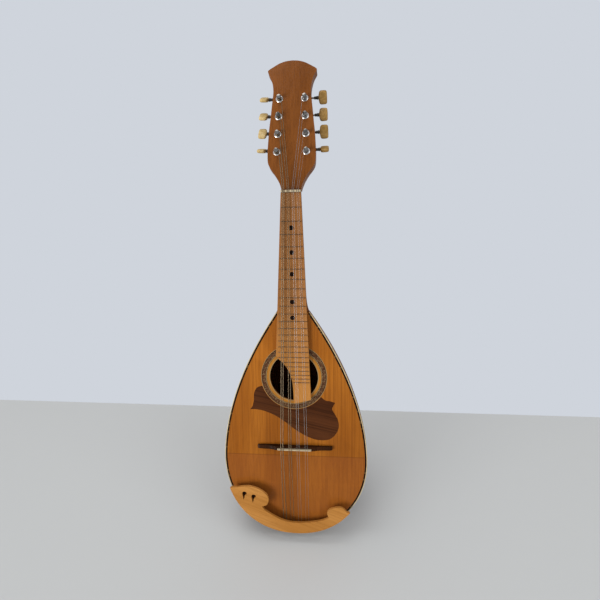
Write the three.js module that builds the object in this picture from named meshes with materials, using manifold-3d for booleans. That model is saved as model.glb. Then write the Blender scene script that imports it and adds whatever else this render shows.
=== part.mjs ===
// A round-backed mandolin with eight strings in four pairs, floating bridge, armrest and worm tuners.
// Millimetres. +Z runs up the neck, the soundboard faces -Y and +X is the treble side.
// The pieces are laid out from the tail end of the soundboard, and the whole is then moved so that
// its origin is where a wall hanger holds the neck, behind the nut.

import * as THREE from 'three';
import { mergeVertices } from 'three/addons/utils/BufferGeometryUtils.js';
import Module from 'manifold-3d';

const wasm = await Module();
wasm.setup();

// Clearances and cuts
const seatGap = 0.3;
const runningGap = 0.35;
const cutOverrun = 20;
const quarterTurn = Math.PI / 2;

// Body outline and bowl
const bodyLength = 320.7;
const bodyHalfWidth = 100;
const widestPlace = 110;
const shoulderHalfWidth = 22;
const tailRoundness = 2.15;
const shoulderRoundness = 1.85;
const bowlDepth = 130;
const heelDepth = 28;
const backRoundness = 1.8;
const sectionRoundness = 2.15;
const ribCount = 9;
const ribThickness = 2.4;
const ribFacets = 2;
const tailStations = 7;
const shoulderStations = 7;
const tailOpeningShare = 0.11;

// Soundboard
const soundboardThickness = 3;
const cantAngle = THREE.MathUtils.degToRad(4);
const cantBelowBridge = 13.5;
const bindingWidth = 1.8;
const soundHoleRadius = 33;
const soundHolePlaceShare = 0.719;
const rosetteInnerRadius = 36.5;
const rosetteOuterRadius = 45.2;
const rosetteSides = 40;
const inlayThickness = 1.2;
const braceWidth = 6;
const braceHeight = 11;
const upperBraceBelowBlock = 13;
const lowerBraceBelowHole = 52;
const neckBlockLength = 26;
const tailBlockLength = 15;
const claspThickness = 1.2;
const claspLength = 34;

// Neck, fingerboard and nut
const neckLength = 155.3;
const neckDepth = 15;
const neckThickening = 3;
const neckHalfWidth = 13;
const heelLength = 34;
const neckFacets = 12;
const scaleLength = 335;
const fretCount = 24;
const fretWidth = 1.6;
const fretHeight = 0.9;
const fretMargin = 0.5;
const fingerboardLength = 281;
const fingerboardThickness = 6;
const fingerboardEndHalfWidth = 23.6;
const nutThickness = 5;
const nutHeight = 7.5;

// Bridge, tailpiece and strings
const saddleSetback = 10.5;
const bridgeLength = 104;
const bridgeThickness = 5.5;
const bridgeHeight = 7.4;
const bridgeArchHeight = 1.6;
const bridgeArchHalfWidth = 17;
const saddleLength = 47;
const saddleThickness = 2.6;
const saddleHeight = 3;
const pairCount = 4;
const courseSpacingAtSaddle = 11.2;
const courseSpacingAtNut = 6.2;
const courseSpacingAtTail = 10.6;
const pairSpacingAtSaddle = 3;
const pairSpacingAtNut = 2.2;
const pairSpacingAtTail = 4.4;
const stringRadii = { g: 0.5, d: 0.36, a: 0.2, e: 0.15 };
const windingLoops = 2.25;
const windingGap = 0.6;
const windingHeight = 3.2;
const stringSides = 6;
const windingSteps = 18;
const tailpieceWidth = 44;
const tailpieceLength = 13;
const tailpieceThickness = 1;
const tailpieceDrop = 14;
const hookRadius = 0.9;
const hookHeight = 3.2;
const hookPlace = 5;
const hookSides = 6;

// Armrest
const armrestHeight = 8;
const armrestThickness = 3.6;
const armrestInset = 2;
const armrestFootRadius = 4;
const armrestFootSides = 10;
const dropLength = 9;
const dropTurn = 0.15;

// Headstock
const headAngle = THREE.MathUtils.degToRad(12);
const headLength = 173;
const headHalfWidth = 31.4;
const headThickness = 13;

// Tuners
const postRadius = 3;
const postHeight = 9;
const journalRadius = 2.2;
const postSpacing = 23.85;
const firstPostPlace = 49.1;
const firstPostHalfSpacing = 19.3;
const lastPostHalfSpacing = 16.6;
const postsPerSide = 4;
const postSides = 10;
const gearTeeth = 14;
const gearRadius = 6.8;
const gearWidth = 3.4;
const wormRadius = 2;
const toothAddendum = 0.6;
const toothDedendum = 0.75;
const toothThicknessShare = 0.31;
const toothTaperShare = 0.12;
const wormTurns = 2.25;
const wormStepsPerTurn = 8;
const wormRootRadius = 1;
const shaftRadius = 1.25;
const shaftSides = 6;
const gearScrewRadius = 2;
const gearScrewHeight = 1.1;
const plateThickness = 1.2;
const plateSideMargin = 0.9;
const plateEndMargin = 9;
const lugThickness = 1.8;
const lugWall = 1.3;
const buttonPlace = 15.3;
const buttonLength = 13.7;
const buttonHalfHeight = 9;
const buttonHalfThickness = 2.75;
const buttonCollarRadius = 2.4;
const buttonSides = 10;
const leftButtonTurns = [1.12, 0.45, 0.7, 0.92];
const rightButtonTurns = [-0.85, 0.2, 0, 0.2];

// Places worked out from the sizes above
const nutPlace = bodyLength + neckLength;
const bridgePlace = nutPlace - scaleLength - saddleSetback;
const cantPlace = bridgePlace - cantBelowBridge;
const soundHolePlace = bodyLength * soundHolePlaceShare;
const rimDepth = soundboardThickness + seatGap;

const finishes = {
  spruce: { color: 0xc98f4f, roughness: 0.4, metalness: 0 },
  rosewood: { color: 0x4a2416, roughness: 0.4, metalness: 0 },
  ribWood: { color: 0x7a3d1c, roughness: 0.35, metalness: 0 },
  mahogany: { color: 0x6d3420, roughness: 0.4, metalness: 0 },
  boardWood: { color: 0x9a6b42, roughness: 0.5, metalness: 0 },
  paleWood: { color: 0xd9b878, roughness: 0.45, metalness: 0 },
  cream: { color: 0xe6dcc0, roughness: 0.35, metalness: 0 },
  mosaic: { color: 0x2a211c, roughness: 0.4, metalness: 0 },
  ebony: { color: 0x241a16, roughness: 0.4, metalness: 0 },
  bone: { color: 0xefe7d2, roughness: 0.4, metalness: 0 },
  steel: { color: 0xb9bcc0, roughness: 0.25, metalness: 1 },
  bronze: { color: 0xb08a55, roughness: 0.35, metalness: 1 },
};

const instrument = new THREE.Group();
instrument.position.set(0, -neckDepth / 2, -nutPlace - nutThickness);

/** Adds one named piece with its finish to a group. */
function addPiece(name, geometry, finish, parent = instrument) {
  const mesh = new THREE.Mesh(geometry, new THREE.MeshStandardMaterial(finishes[finish]));
  mesh.name = name;
  parent.add(mesh);
  return mesh;
}

/** Makes a closed body from points and triangles, with its faces turned outwards. */
function closedBody(points, triangles) {
  const volume = triangles.reduce((sum, [a, b, c]) => {
    const cross = new THREE.Vector3().crossVectors(points[b], points[c]);
    return sum + points[a].dot(cross);
  }, 0);
  const turned = volume < 0 ? triangles.map(([a, b, c]) => [a, c, b]) : triangles;
  const geometry = new THREE.BufferGeometry();
  const positions = points.flatMap((point) => point.toArray());
  geometry.setAttribute('position', new THREE.Float32BufferAttribute(positions, 3));
  geometry.setIndex(turned.flat());
  return geometry;
}

/** Gives the middle of a ring of points. */
function middleOf(ring) {
  const sum = ring.reduce((total, point) => total.add(point), new THREE.Vector3());
  return sum.divideScalar(ring.length);
}

/** Joins a row of rings of equal count, and closes both ends round their middles. */
function loft(rings) {
  const count = rings[0].length;
  const triangles = [];
  for (let ring = 0; ring < rings.length - 1; ring += 1) {
    for (let side = 0; side < count; side += 1) {
      const a = ring * count + side;
      const b = ring * count + ((side + 1) % count);
      triangles.push([a, b, a + count], [b, b + count, a + count]);
    }
  }
  const last = (rings.length - 1) * count;
  const middles = [rings[0], rings[rings.length - 1]].map(middleOf);
  const firstMiddle = last + count;
  for (let side = 0; side < count; side += 1) {
    const next = (side + 1) % count;
    triangles.push([firstMiddle, next, side], [firstMiddle + 1, last + side, last + next]);
  }
  return closedBody([...rings.flat(), ...middles], triangles);
}

/** Turns a closed geometry into a solid that can be joined and cut. */
function toSolid(geometry) {
  const bare = geometry.clone();
  bare.deleteAttribute('normal');
  bare.deleteAttribute('uv');
  const merged = mergeVertices(bare);
  const corners = Array.from(merged.index.array);
  const triangles = Array.from({ length: corners.length / 3 }, (_, index) => (
    corners.slice(3 * index, 3 * index + 3)));
  const whole = triangles.filter(([a, b, c]) => a !== b && b !== c && c !== a);
  return new wasm.Manifold(new wasm.Mesh({
    numProp: 3,
    vertProperties: new Float32Array(merged.attributes.position.array),
    triVerts: new Uint32Array(whole.flat()),
  }));
}

/** Turns a solid back into a geometry. */
function toGeometry(solid) {
  const mesh = solid.getMesh();
  const geometry = new THREE.BufferGeometry();
  geometry.setAttribute('position', new THREE.Float32BufferAttribute(mesh.vertProperties, 3));
  geometry.setIndex(Array.from(mesh.triVerts));
  return geometry;
}

/** Gives an outline's corners in the order that its use needs. */
function wound(outline, clockwise) {
  const turned = THREE.ShapeUtils.isClockWise(outline) !== clockwise;
  return turned ? outline.slice().reverse() : outline;
}

/** Extrudes an outline of x and z from a front y to a back y. */
function plateBetween(outline, front, back, holes = []) {
  const shape = new THREE.Shape(wound(outline, false));
  shape.holes = holes.map((hole) => new THREE.Path(wound(hole, true)));
  const geometry = new THREE.ExtrudeGeometry(shape, { depth: back - front, bevelEnabled: false });
  geometry.rotateX(quarterTurn);
  geometry.translate(0, back, 0);
  return geometry;
}

/** Extrudes an outline of y and z sideways, centred on x. */
function sideProfile(outline, width, centre = 0) {
  const shape = new THREE.Shape(outline);
  const geometry = new THREE.ExtrudeGeometry(shape, { depth: width, bevelEnabled: false });
  const basis = new THREE.Matrix4().makeBasis(
    new THREE.Vector3(0, 1, 0), new THREE.Vector3(0, 0, 1), new THREE.Vector3(1, 0, 0));
  geometry.applyMatrix4(basis);
  geometry.translate(centre - width / 2, 0, 0);
  return geometry;
}

/** Extrudes an outline of x and y up the neck, centred on a place. */
function crossProfile(outline, length, place) {
  const shape = new THREE.Shape(outline);
  const geometry = new THREE.ExtrudeGeometry(shape, { depth: length, bevelEnabled: false });
  geometry.translate(0, 0, place - length / 2);
  return geometry;
}

/** Gives the corners of a box in the plane of an outline. */
function rectangle(left, bottom, right, top) {
  return [[left, bottom], [right, bottom], [right, top], [left, top]].map(
    ([a, b]) => new THREE.Vector2(a, b));
}

/** Gives the corners of a circle. */
function circle(centreA, centreB, radius, sides) {
  return Array.from({ length: sides }, (_, index) => {
    const angle = (index / sides) * 2 * Math.PI;
    return new THREE.Vector2(centreA + radius * Math.cos(angle), centreB + radius * Math.sin(angle));
  });
}

/** Moves each point of a closed outline inwards by a distance. */
function insetOutline(outline, distance) {
  const sense = Math.sign(THREE.ShapeUtils.area(outline));
  return outline.map((point, index) => {
    const before = outline[(index + outline.length - 1) % outline.length];
    const after = outline[(index + 1) % outline.length];
    const first = point.clone().sub(before).normalize();
    const second = after.clone().sub(point).normalize();
    const along = first.add(second).normalize();
    return new THREE.Vector2(point.x - sense * along.y * distance, point.y + sense * along.x * distance);
  });
}

// The body's outline and bowl

const slopeShare = 0.001;

/** Gives the share of its greatest value that a half width or depth has at a station. */
function fullness(station, endShare, roundness) {
  if (station <= 1) {
    return (1 - (1 - tailTravel(station)) ** tailRoundness) ** (1 / tailRoundness);
  }
  return 1 - (1 - endShare) * (station - 1) ** roundness;
}

/** Gives how far a tail station lies from the tail to the widest place, as a share. */
function tailTravel(station) {
  return 1 - Math.cos(station * quarterTurn);
}

/** Gives a station's height up the body: 0 at the tail, 1 at the widest place, 2 at the neck joint. */
function stationPlace(station) {
  if (station <= 1) {
    return widestPlace * tailTravel(station);
  }
  return widestPlace + (bodyLength - widestPlace) * (station - 1);
}

/** Gives how far back the canted part of the soundboard lies at a height up the body. */
function cantBack(place) {
  return Math.max(0, cantPlace - place) * Math.tan(cantAngle);
}

/** Gives the half width of the body at a station. */
function halfWidthAt(station) {
  return bodyHalfWidth * fullness(station, shoulderHalfWidth / bodyHalfWidth, shoulderRoundness);
}

/** Gives a point on the bowl's outer surface. Angle 0 is the treble rim and half a turn the bass rim. */
function bowlPoint(station, angle) {
  const depth = bowlDepth * fullness(station, heelDepth / bowlDepth, backRoundness);
  const power = 2 / sectionRoundness;
  const across = Math.cos(angle);
  const down = Math.max(0, Math.sin(angle));
  const place = stationPlace(station);
  return new THREE.Vector3(
    halfWidthAt(station) * Math.sign(across) * Math.abs(across) ** power,
    rimDepth + cantBack(place) + (depth - rimDepth) * down ** power,
    place);
}

/** Gives the bowl's point moved square to its surface, outwards where the offset is positive. */
function bowlOffsetPoint(station, angle, offset) {
  const point = bowlPoint(station, angle);
  const safeAngle = THREE.MathUtils.clamp(angle, 2 * slopeShare, Math.PI - 2 * slopeShare);
  const safeStation = Math.min(station, 2 - slopeShare);
  const base = bowlPoint(safeStation, safeAngle);
  const along = bowlPoint(safeStation + slopeShare, safeAngle).sub(base);
  const around = bowlPoint(safeStation, safeAngle + slopeShare).sub(base);
  const normal = around.cross(along).normalize();
  const onRim = angle <= 0 || angle >= Math.PI;
  if (onRim) {
    normal.y = 0;
    normal.normalize();
  }
  point.addScaledVector(normal, offset);
  if (onRim) {
    point.y = rimDepth + cantBack(point.z);
  }
  return point;
}

const stations = [
  ...Array.from({ length: tailStations }, (_, index) => (
    tailOpeningShare + ((1 - tailOpeningShare) * index) / tailStations)),
  ...Array.from({ length: shoulderStations + 1 }, (_, index) => 1 + index / shoulderStations),
];

/** Gives the closed space inside an offset of the bowl, with its front moved forward by a distance. */
function bowlVolume(offset, forward = 0) {
  const facets = ribCount * ribFacets;
  const rings = stations.map((station) => {
    const ring = Array.from({ length: facets + 1 }, (_, index) => (
      bowlOffsetPoint(station, (index / facets) * Math.PI, offset)));
    const front = ring.filter((_, index) => index === facets || index === 0).map((point) => point.clone());
    front.forEach((point) => {
      point.y -= forward;
    });
    return forward > 0 ? [front[0], ...ring, front[1]] : ring;
  });
  return toSolid(loft(rings));
}

/** Makes one rib: a curved strip of even thickness from the tail to the neck joint. */
function makeRib(index) {
  const columns = ribFacets + 1;
  const points = [];
  const triangles = [];
  const layers = [0, -ribThickness];
  layers.forEach((offset) => stations.forEach((station) => {
    const reach = (halfWidthAt(station) + bowlPoint(station, quarterTurn).y) / 2;
    const gapAngle = seatGap / 2 / reach;
    const start = (index / ribCount) * Math.PI + (index > 0 ? gapAngle : 0);
    const end = ((index + 1) / ribCount) * Math.PI - (index < ribCount - 1 ? gapAngle : 0);
    for (let column = 0; column < columns; column += 1) {
      points.push(bowlOffsetPoint(station, start + ((end - start) * column) / ribFacets, offset));
    }
  }));
  const rows = stations.length;
  const at = (layer, row, column) => (layer * rows + row) * columns + column;
  const addQuad = (a, b, c, d) => triangles.push([a, b, c], [a, c, d]);
  const side = ribFacets;
  const last = rows - 1;
  for (let row = 0; row < last; row += 1) {
    for (let column = 0; column < ribFacets; column += 1) {
      addQuad(at(0, row, column), at(0, row, column + 1), at(0, row + 1, column + 1), at(0, row + 1, column));
      addQuad(at(1, row, column), at(1, row + 1, column), at(1, row + 1, column + 1), at(1, row, column + 1));
    }
    addQuad(at(0, row, 0), at(0, row + 1, 0), at(1, row + 1, 0), at(1, row, 0));
    addQuad(at(0, row, side), at(1, row, side), at(1, row + 1, side), at(0, row + 1, side));
  }
  for (let column = 0; column < ribFacets; column += 1) {
    addQuad(at(0, 0, column), at(1, 0, column), at(1, 0, column + 1), at(0, 0, column + 1));
    addQuad(at(0, last, column), at(0, last, column + 1), at(1, last, column + 1), at(1, last, column));
  }
  return closedBody(points, triangles);
}

for (let index = 0; index < ribCount; index += 1) {
  addPiece(`rib_${index + 1}`, makeRib(index), 'ribWood');
}

const chamber = bowlVolume(-ribThickness - seatGap);
const slabHalfWidth = bodyHalfWidth + cutOverrun;
const slabBetween = (bottom, top, front = -cutOverrun) => toSolid(plateBetween(
  rectangle(-slabHalfWidth, bottom, slabHalfWidth, top), front, bowlDepth + cutOverrun));

const neckBlock = chamber.intersect(slabBetween(bodyLength - neckBlockLength, bodyLength - ribThickness, 0));
addPiece('neck_block', toGeometry(neckBlock), 'paleWood');
const tailBlock = chamber.intersect(slabBetween(-cutOverrun, tailBlockLength));
addPiece('tail_block', toGeometry(tailBlock), 'paleWood');

/** Makes a brace that spans the chamber behind the soundboard, its ends cut to the bowl. */
function makeBrace(place) {
  const front = rimDepth + cantBack(place);
  const bar = toSolid(plateBetween(
    rectangle(-bodyHalfWidth, place - braceWidth / 2, bodyHalfWidth, place + braceWidth / 2),
    front, front + braceHeight));
  return toGeometry(chamber.intersect(bar));
}

const upperBracePlace = bodyLength - neckBlockLength - upperBraceBelowBlock - braceWidth / 2;
addPiece('brace_upper', makeBrace(upperBracePlace), 'paleWood');
addPiece('brace_lower', makeBrace(soundHolePlace - lowerBraceBelowHole), 'paleWood');

const claspOutside = bowlVolume(seatGap + claspThickness);
const claspInside = bowlVolume(seatGap, cutOverrun);
const clasp = claspOutside.subtract(claspInside).intersect(slabBetween(-cutOverrun, claspLength));
addPiece('end_clasp', toGeometry(clasp), 'ribWood');

// The soundboard and what is let into it

const trebleEdge = stations.map((station) => new THREE.Vector2(halfWidthAt(station), stationPlace(station)));
const tailPoint = new THREE.Vector2(0, 0);
const bodyOutline = [
  tailPoint,
  new THREE.Vector2(halfWidthAt(tailOpeningShare / 2), stationPlace(tailOpeningShare / 2)),
  ...trebleEdge,
  ...trebleEdge.slice().reverse().map((point) => new THREE.Vector2(-point.x, point.y)),
  new THREE.Vector2(-halfWidthAt(tailOpeningShare / 2), stationPlace(tailOpeningShare / 2)),
];

/** Makes a sheet of even thickness that follows the flat and the canted parts of the soundboard. */
function bentSheet(front, back) {
  const low = -cutOverrun;
  const high = bodyLength + cutOverrun;
  const drop = cantBack(low);
  return toSolid(sideProfile([
    new THREE.Vector2(front + drop, low), new THREE.Vector2(back + drop, low),
    new THREE.Vector2(back, cantPlace), new THREE.Vector2(back, high),
    new THREE.Vector2(front, high), new THREE.Vector2(front, cantPlace),
  ], 2 * slabHalfWidth));
}

const columnOf = (outline, holes = []) => toSolid(plateBetween(outline, -cutOverrun, bowlDepth, holes));
const boardTop = bodyLength - seatGap;
const belowNeck = slabBetween(-cutOverrun, boardTop);

// The red-brown guard below the sound hole, as shares of the half width and the body length from the hole
const guardShares = [
  [-0.446, -0.042], [-0.511, -0.049], [-0.55, -0.067], [-0.563, -0.087], [-0.566, -0.111], [-0.585, -0.133],
  [-0.618, -0.148], [-0.552, -0.147], [-0.444, -0.152], [-0.339, -0.163], [-0.232, -0.18], [-0.127, -0.202],
  [-0.021, -0.228], [0.084, -0.25], [0.19, -0.267], [0.295, -0.278], [0.401, -0.28], [0.486, -0.274],
  [0.549, -0.258], [0.596, -0.234], [0.609, -0.209], [0.591, -0.182], [0.551, -0.159], [0.52, -0.14],
  [0.535, -0.125], [0.56, -0.111], [0.489, -0.104], [0.427, -0.101], [0.375, -0.088],
];
const guardOutline = guardShares.map(([across, along]) => new THREE.Vector2(
  bodyHalfWidth * across, soundHolePlace + bodyLength * along));
const aroundHole = (radius, sides = rosetteSides) => circle(0, soundHolePlace, radius, sides);
const guardBlank = toSolid(plateBetween(guardOutline, 0, inlayThickness));
const guardClearance = columnOf(aroundHole(rosetteOuterRadius + 2 * seatGap));
addPiece('pickguard', toGeometry(guardBlank.subtract(guardClearance)), 'rosewood');
const guardRecess = toSolid(plateBetween(
  insetOutline(guardOutline, -seatGap), -seatGap, inlayThickness + seatGap));

addPiece('rosette', plateBetween(
  aroundHole(rosetteOuterRadius), 0, inlayThickness, [aroundHole(rosetteInnerRadius)]), 'mosaic');
const rosetteRecess = toSolid(plateBetween(aroundHole(rosetteOuterRadius + seatGap), -seatGap,
  inlayThickness + seatGap, [aroundHole(rosetteInnerRadius - seatGap)]));

const boardOutline = insetOutline(bodyOutline, bindingWidth + seatGap);
const soundboard = bentSheet(0, soundboardThickness)
  .intersect(columnOf(boardOutline, [aroundHole(soundHoleRadius)]))
  .intersect(belowNeck)
  .subtract(rosetteRecess)
  .subtract(guardRecess.subtract(guardClearance));
addPiece('soundboard', toGeometry(soundboard), 'spruce');

const binding = bentSheet(0, soundboardThickness)
  .intersect(columnOf(bodyOutline, [insetOutline(bodyOutline, bindingWidth)]))
  .intersect(belowNeck);
const bindingCut = toSolid(plateBetween(
  rectangle(-neckHalfWidth, bodyLength - 4 * bindingWidth, neckHalfWidth, bodyLength + cutOverrun),
  -cutOverrun, cutOverrun));
addPiece('binding', toGeometry(binding.subtract(bindingCut)), 'cream');

// The neck, nut and fingerboard

/** Gives the fingerboard's half width at a distance below the nut. */
function boardHalfWidth(distance) {
  return neckHalfWidth + ((fingerboardEndHalfWidth - neckHalfWidth) * distance) / fingerboardLength;
}

/** Makes a section of the neck: flat in front and round behind, and leaning where it meets the head. */
function neckSection(place, halfWidth, depth, lean = 0) {
  return Array.from({ length: neckFacets + 1 }, (_, index) => {
    const angle = (index / neckFacets) * Math.PI;
    const back = depth * Math.sin(angle);
    return new THREE.Vector3(halfWidth * Math.cos(angle), back, place - back * Math.tan(lean));
  });
}

const heelShares = [[0, 1], [0.12, 0.8], [0.3, 0.5], [0.6, 0.16], [1, 0]];
const jointHalfWidth = boardHalfWidth(neckLength);
const neckRings = [
  ...heelShares.map(([along, share]) => {
    const distance = neckLength - heelLength * along;
    const plainDepth = neckDepth + (neckThickening * distance) / neckLength;
    const halfWidth = boardHalfWidth(distance) + (shoulderHalfWidth - jointHalfWidth) * share ** 2;
    return neckSection(nutPlace - distance, halfWidth, plainDepth + (heelDepth - plainDepth) * share);
  }),
  neckSection(nutPlace + nutThickness - seatGap, neckHalfWidth, neckDepth, headAngle),
];
addPiece('neck', loft(neckRings), 'mahogany');

const boardFront = -fingerboardThickness - seatGap;
const boardCutShares = [
  [-0.98, 0.762], [-0.85, 0.778], [-0.64, 0.794], [-0.46, 0.812], [-0.28, 0.836], [-0.15, 0.862],
  [-0.06, 0.897], [-0.02, 0.94], [0, 1],
];
const boardTrebleEndShare = 0.98;
const boardPlan = [
  new THREE.Vector2(boardHalfWidth(0), nutPlace - seatGap),
  new THREE.Vector2(-boardHalfWidth(0), nutPlace - seatGap),
  ...boardCutShares.map(([across, along]) => new THREE.Vector2(
    fingerboardEndHalfWidth * across, nutPlace - fingerboardLength * along)),
  new THREE.Vector2(fingerboardEndHalfWidth, nutPlace - fingerboardLength * boardTrebleEndShare),
];
const fretBars = Array.from({ length: fretCount }, (_, index) => {
  const place = nutPlace - scaleLength * (1 - 2 ** (-(index + 1) / 12));
  const bar = sideProfile([
    new THREE.Vector2(boardFront + fretHeight, place - fretWidth / 2),
    new THREE.Vector2(boardFront + fretHeight, place + fretWidth / 2),
    new THREE.Vector2(boardFront - fretHeight, place + fretWidth / 4),
    new THREE.Vector2(boardFront - fretHeight, place - fretWidth / 4),
  ], 2 * fingerboardEndHalfWidth);
  return toSolid(bar);
});
const fretField = toSolid(plateBetween(insetOutline(boardPlan, fretMargin), boardFront - cutOverrun, 0));
const fingerboard = fretBars.reduce(
  (board, bar) => board.add(bar.intersect(fretField)),
  toSolid(plateBetween(boardPlan, boardFront, -seatGap)));
addPiece('fingerboard', toGeometry(fingerboard), 'boardWood');

const nutFront = -nutHeight;
addPiece('nut', plateBetween(rectangle(-neckHalfWidth, nutPlace, neckHalfWidth,
  nutPlace + nutThickness - seatGap), nutFront, -seatGap), 'bone');

// The bridge and tailpiece

const bridgeShares = [
  [0.5, 0], [0.5, 0.3], [0.44, 0.42], [0.33, 0.55], [0.26, 0.9], [0.24, 1],
];
const bridgeEdge = bridgeShares.map(([across, up]) => new THREE.Vector2(
  bridgeLength * across, -seatGap - bridgeHeight * up));
const archFootHalfWidth = bridgeArchHalfWidth + bridgeArchHeight;
const bridgeOutline = [
  new THREE.Vector2(-bridgeArchHalfWidth, -seatGap - bridgeArchHeight),
  new THREE.Vector2(bridgeArchHalfWidth, -seatGap - bridgeArchHeight),
  new THREE.Vector2(archFootHalfWidth, -seatGap),
  ...bridgeEdge,
  ...bridgeEdge.slice().reverse().map((point) => new THREE.Vector2(-point.x, point.y)),
  new THREE.Vector2(-archFootHalfWidth, -seatGap),
];
addPiece('bridge_base', crossProfile(bridgeOutline, bridgeThickness, bridgePlace), 'ebony');
const saddleFoot = -bridgeHeight - 2 * seatGap;
const saddleTop = saddleFoot - saddleHeight;
const saddleSection = rectangle(-saddleLength / 2, saddleTop, saddleLength / 2, saddleFoot);
addPiece('bridge_saddle', crossProfile(saddleSection, saddleThickness, bridgePlace), 'bone');

const tailEnd = new THREE.Group();
tailEnd.position.set(0, 0, cantPlace);
tailEnd.rotation.x = cantAngle;
instrument.add(tailEnd);
const cantLength = cantPlace / Math.cos(cantAngle);

const tailpieceBack = -seatGap;
const tailpieceFront = tailpieceBack - tailpieceThickness;
const flangeFace = -cantLength - claspThickness - 4 * seatGap;
const tailpiecePlate = toSolid(sideProfile([
  new THREE.Vector2(tailpieceFront, flangeFace - tailpieceThickness),
  new THREE.Vector2(tailpieceDrop, flangeFace - tailpieceThickness),
  new THREE.Vector2(tailpieceDrop, flangeFace),
  new THREE.Vector2(tailpieceBack, flangeFace),
  new THREE.Vector2(tailpieceBack, -cantLength + tailpieceLength),
  new THREE.Vector2(tailpieceFront, -cantLength + tailpieceLength),
], tailpieceWidth));

/** Gives each string's place across the instrument, from the bass side, for two spacings. */
function stringAcross(index, courseSpacing, pairSpacing) {
  const course = Math.floor(index / 2);
  const side = index % 2 === 0 ? -1 : 1;
  return (course - (pairCount - 1) / 2) * courseSpacing + (side * pairSpacing) / 2;
}

const stringCount = 2 * pairCount;
const stringPlaces = Array.from({ length: stringCount }, (_, index) => index);
const tailpiece = stringPlaces.reduce((whole, index) => {
  const across = stringAcross(index, courseSpacingAtTail, pairSpacingAtTail);
  const section = circle(across, -cantLength + hookPlace, hookRadius, hookSides);
  return whole.add(toSolid(plateBetween(
    section, tailpieceFront - hookHeight, tailpieceFront + tailpieceThickness / 2)));
}, tailpiecePlate);
addPiece('tailpiece', toGeometry(tailpiece), 'steel', tailEnd);

// The armrest, raised over the tail end on three feet

const armrestInnerShares = [
  [-0.895, 0.222], [-0.81, 0.224], [-0.725, 0.229], [-0.64, 0.23], [-0.54, 0.222], [-0.47, 0.21],
  [-0.41, 0.194], [-0.38, 0.175], [-0.383, 0.156], [-0.415, 0.14], [-0.475, 0.134], [-0.43, 0.114],
  [-0.32, 0.09], [-0.21, 0.072], [-0.08, 0.061], [0.055, 0.06], [0.19, 0.064], [0.31, 0.071], [0.4, 0.08],
  [0.47, 0.092], [0.45, 0.107], [0.45, 0.12], [0.485, 0.133], [0.545, 0.141], [0.618, 0.145],
  [0.678, 0.138], [0.715, 0.124],
];
const tailFrame = (across, along) => new THREE.Vector2(
  bodyHalfWidth * across, -cantLength + bodyLength * along);
const armrestInner = armrestInnerShares.map(([across, along]) => tailFrame(across, along));
const armrestEdge = insetOutline(bodyOutline, armrestInset);
const lowestCorner = armrestInner[0].y + cantPlace;
const outerCorners = armrestEdge.filter((point) => point.y < lowestCorner);
const bassCorners = outerCorners.filter((point) => point.x < 0);
const trebleCorners = outerCorners.filter((point) => point.x >= 0
  && point.y < armrestInner[armrestInner.length - 1].y + cantPlace);
const armrestOuter = [...trebleCorners.reverse(), ...bassCorners.reverse()].map(
  (point) => new THREE.Vector2(point.x, point.y - cantPlace));
const dropShares = [
  [0.02, 0.52], [0.26, 0.44], [0.34, 0.2], [0.24, 0], [0.1, -0.12], [0.08, -0.45], [0.02, -0.72],
  [-0.02, -0.76], [-0.12, -0.4], [-0.28, -0.02], [-0.3, 0.25], [-0.2, 0.44],
];
const dropPlaceShares = [[-0.725, 0.188], [-0.595, 0.175]];

/** Gives the outline of a pierced drop with a bent tail, its round end up the neck. */
function dropOutline(centre) {
  const origin = new THREE.Vector2(0, 0);
  return dropShares.map(([across, along]) => new THREE.Vector2(dropLength * across, dropLength * along)
    .rotateAround(origin, -dropTurn).add(centre));
}

const drops = dropPlaceShares.map(([across, along]) => dropOutline(tailFrame(across, along)));
const armrestPlate = toSolid(plateBetween([...armrestInner, ...armrestOuter],
  -armrestHeight - armrestThickness, -armrestHeight, drops));
const footPlaceShares = [[-0.68, 0.135], [-0.44, 0.078], [0.57, 0.105]];
const armrest = footPlaceShares.reduce((whole, [across, along]) => {
  const centre = tailFrame(across, along);
  const section = circle(centre.x, centre.y, armrestFootRadius, armrestFootSides);
  return whole.add(toSolid(plateBetween(section, -armrestHeight - armrestThickness / 2, -seatGap)));
}, armrestPlate);
addPiece('armrest', toGeometry(armrest), 'paleWood', tailEnd);

// The headstock, tilted back from the nut

const head = new THREE.Group();
head.position.set(0, 0, nutPlace + nutThickness);
head.rotation.x = -headAngle;
instrument.add(head);

const headShares = [
  [0.45, 0.025], [0.554, 0.072], [0.707, 0.12], [0.9, 0.168], [0.985, 0.208], [1, 0.289], [0.98, 0.364],
  [0.945, 0.462], [0.892, 0.549], [0.853, 0.628], [0.806, 0.709], [0.79, 0.765], [0.828, 0.822],
  [0.904, 0.871], [1.035, 0.92], [0.82, 0.95], [0.55, 0.979], [0.28, 0.995],
];
const neckShareOfHead = neckHalfWidth / headHalfWidth;
const headSide = [[neckShareOfHead, 0], ...headShares].map(([across, along]) => new THREE.Vector2(
  headHalfWidth * across, headLength * along));
const headOutline = [
  ...headSide,
  new THREE.Vector2(0, headLength),
  ...headSide.slice().reverse().map((point) => new THREE.Vector2(-point.x, point.y)),
];
const postRowLength = postSpacing * (postsPerSide - 1);
const rowAngle = Math.asin((firstPostHalfSpacing - lastPostHalfSpacing) / postRowLength);
const headSides = [-1, 1];
const tuners = headSides.flatMap((side) => Array.from({ length: postsPerSide }, (_, index) => ({
  side,
  index,
  across: side * (firstPostHalfSpacing - Math.sin(rowAngle) * postSpacing * index),
  along: firstPostPlace + Math.cos(rowAngle) * postSpacing * index,
})));
const headHoles = tuners.map(({ across, along }) => (
  circle(across, along, (postRadius + runningGap) / Math.cos(Math.PI / postSides), postSides)));
addPiece('headstock', plateBetween(headOutline, 0, headThickness, headHoles), 'mahogany', head);

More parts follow.
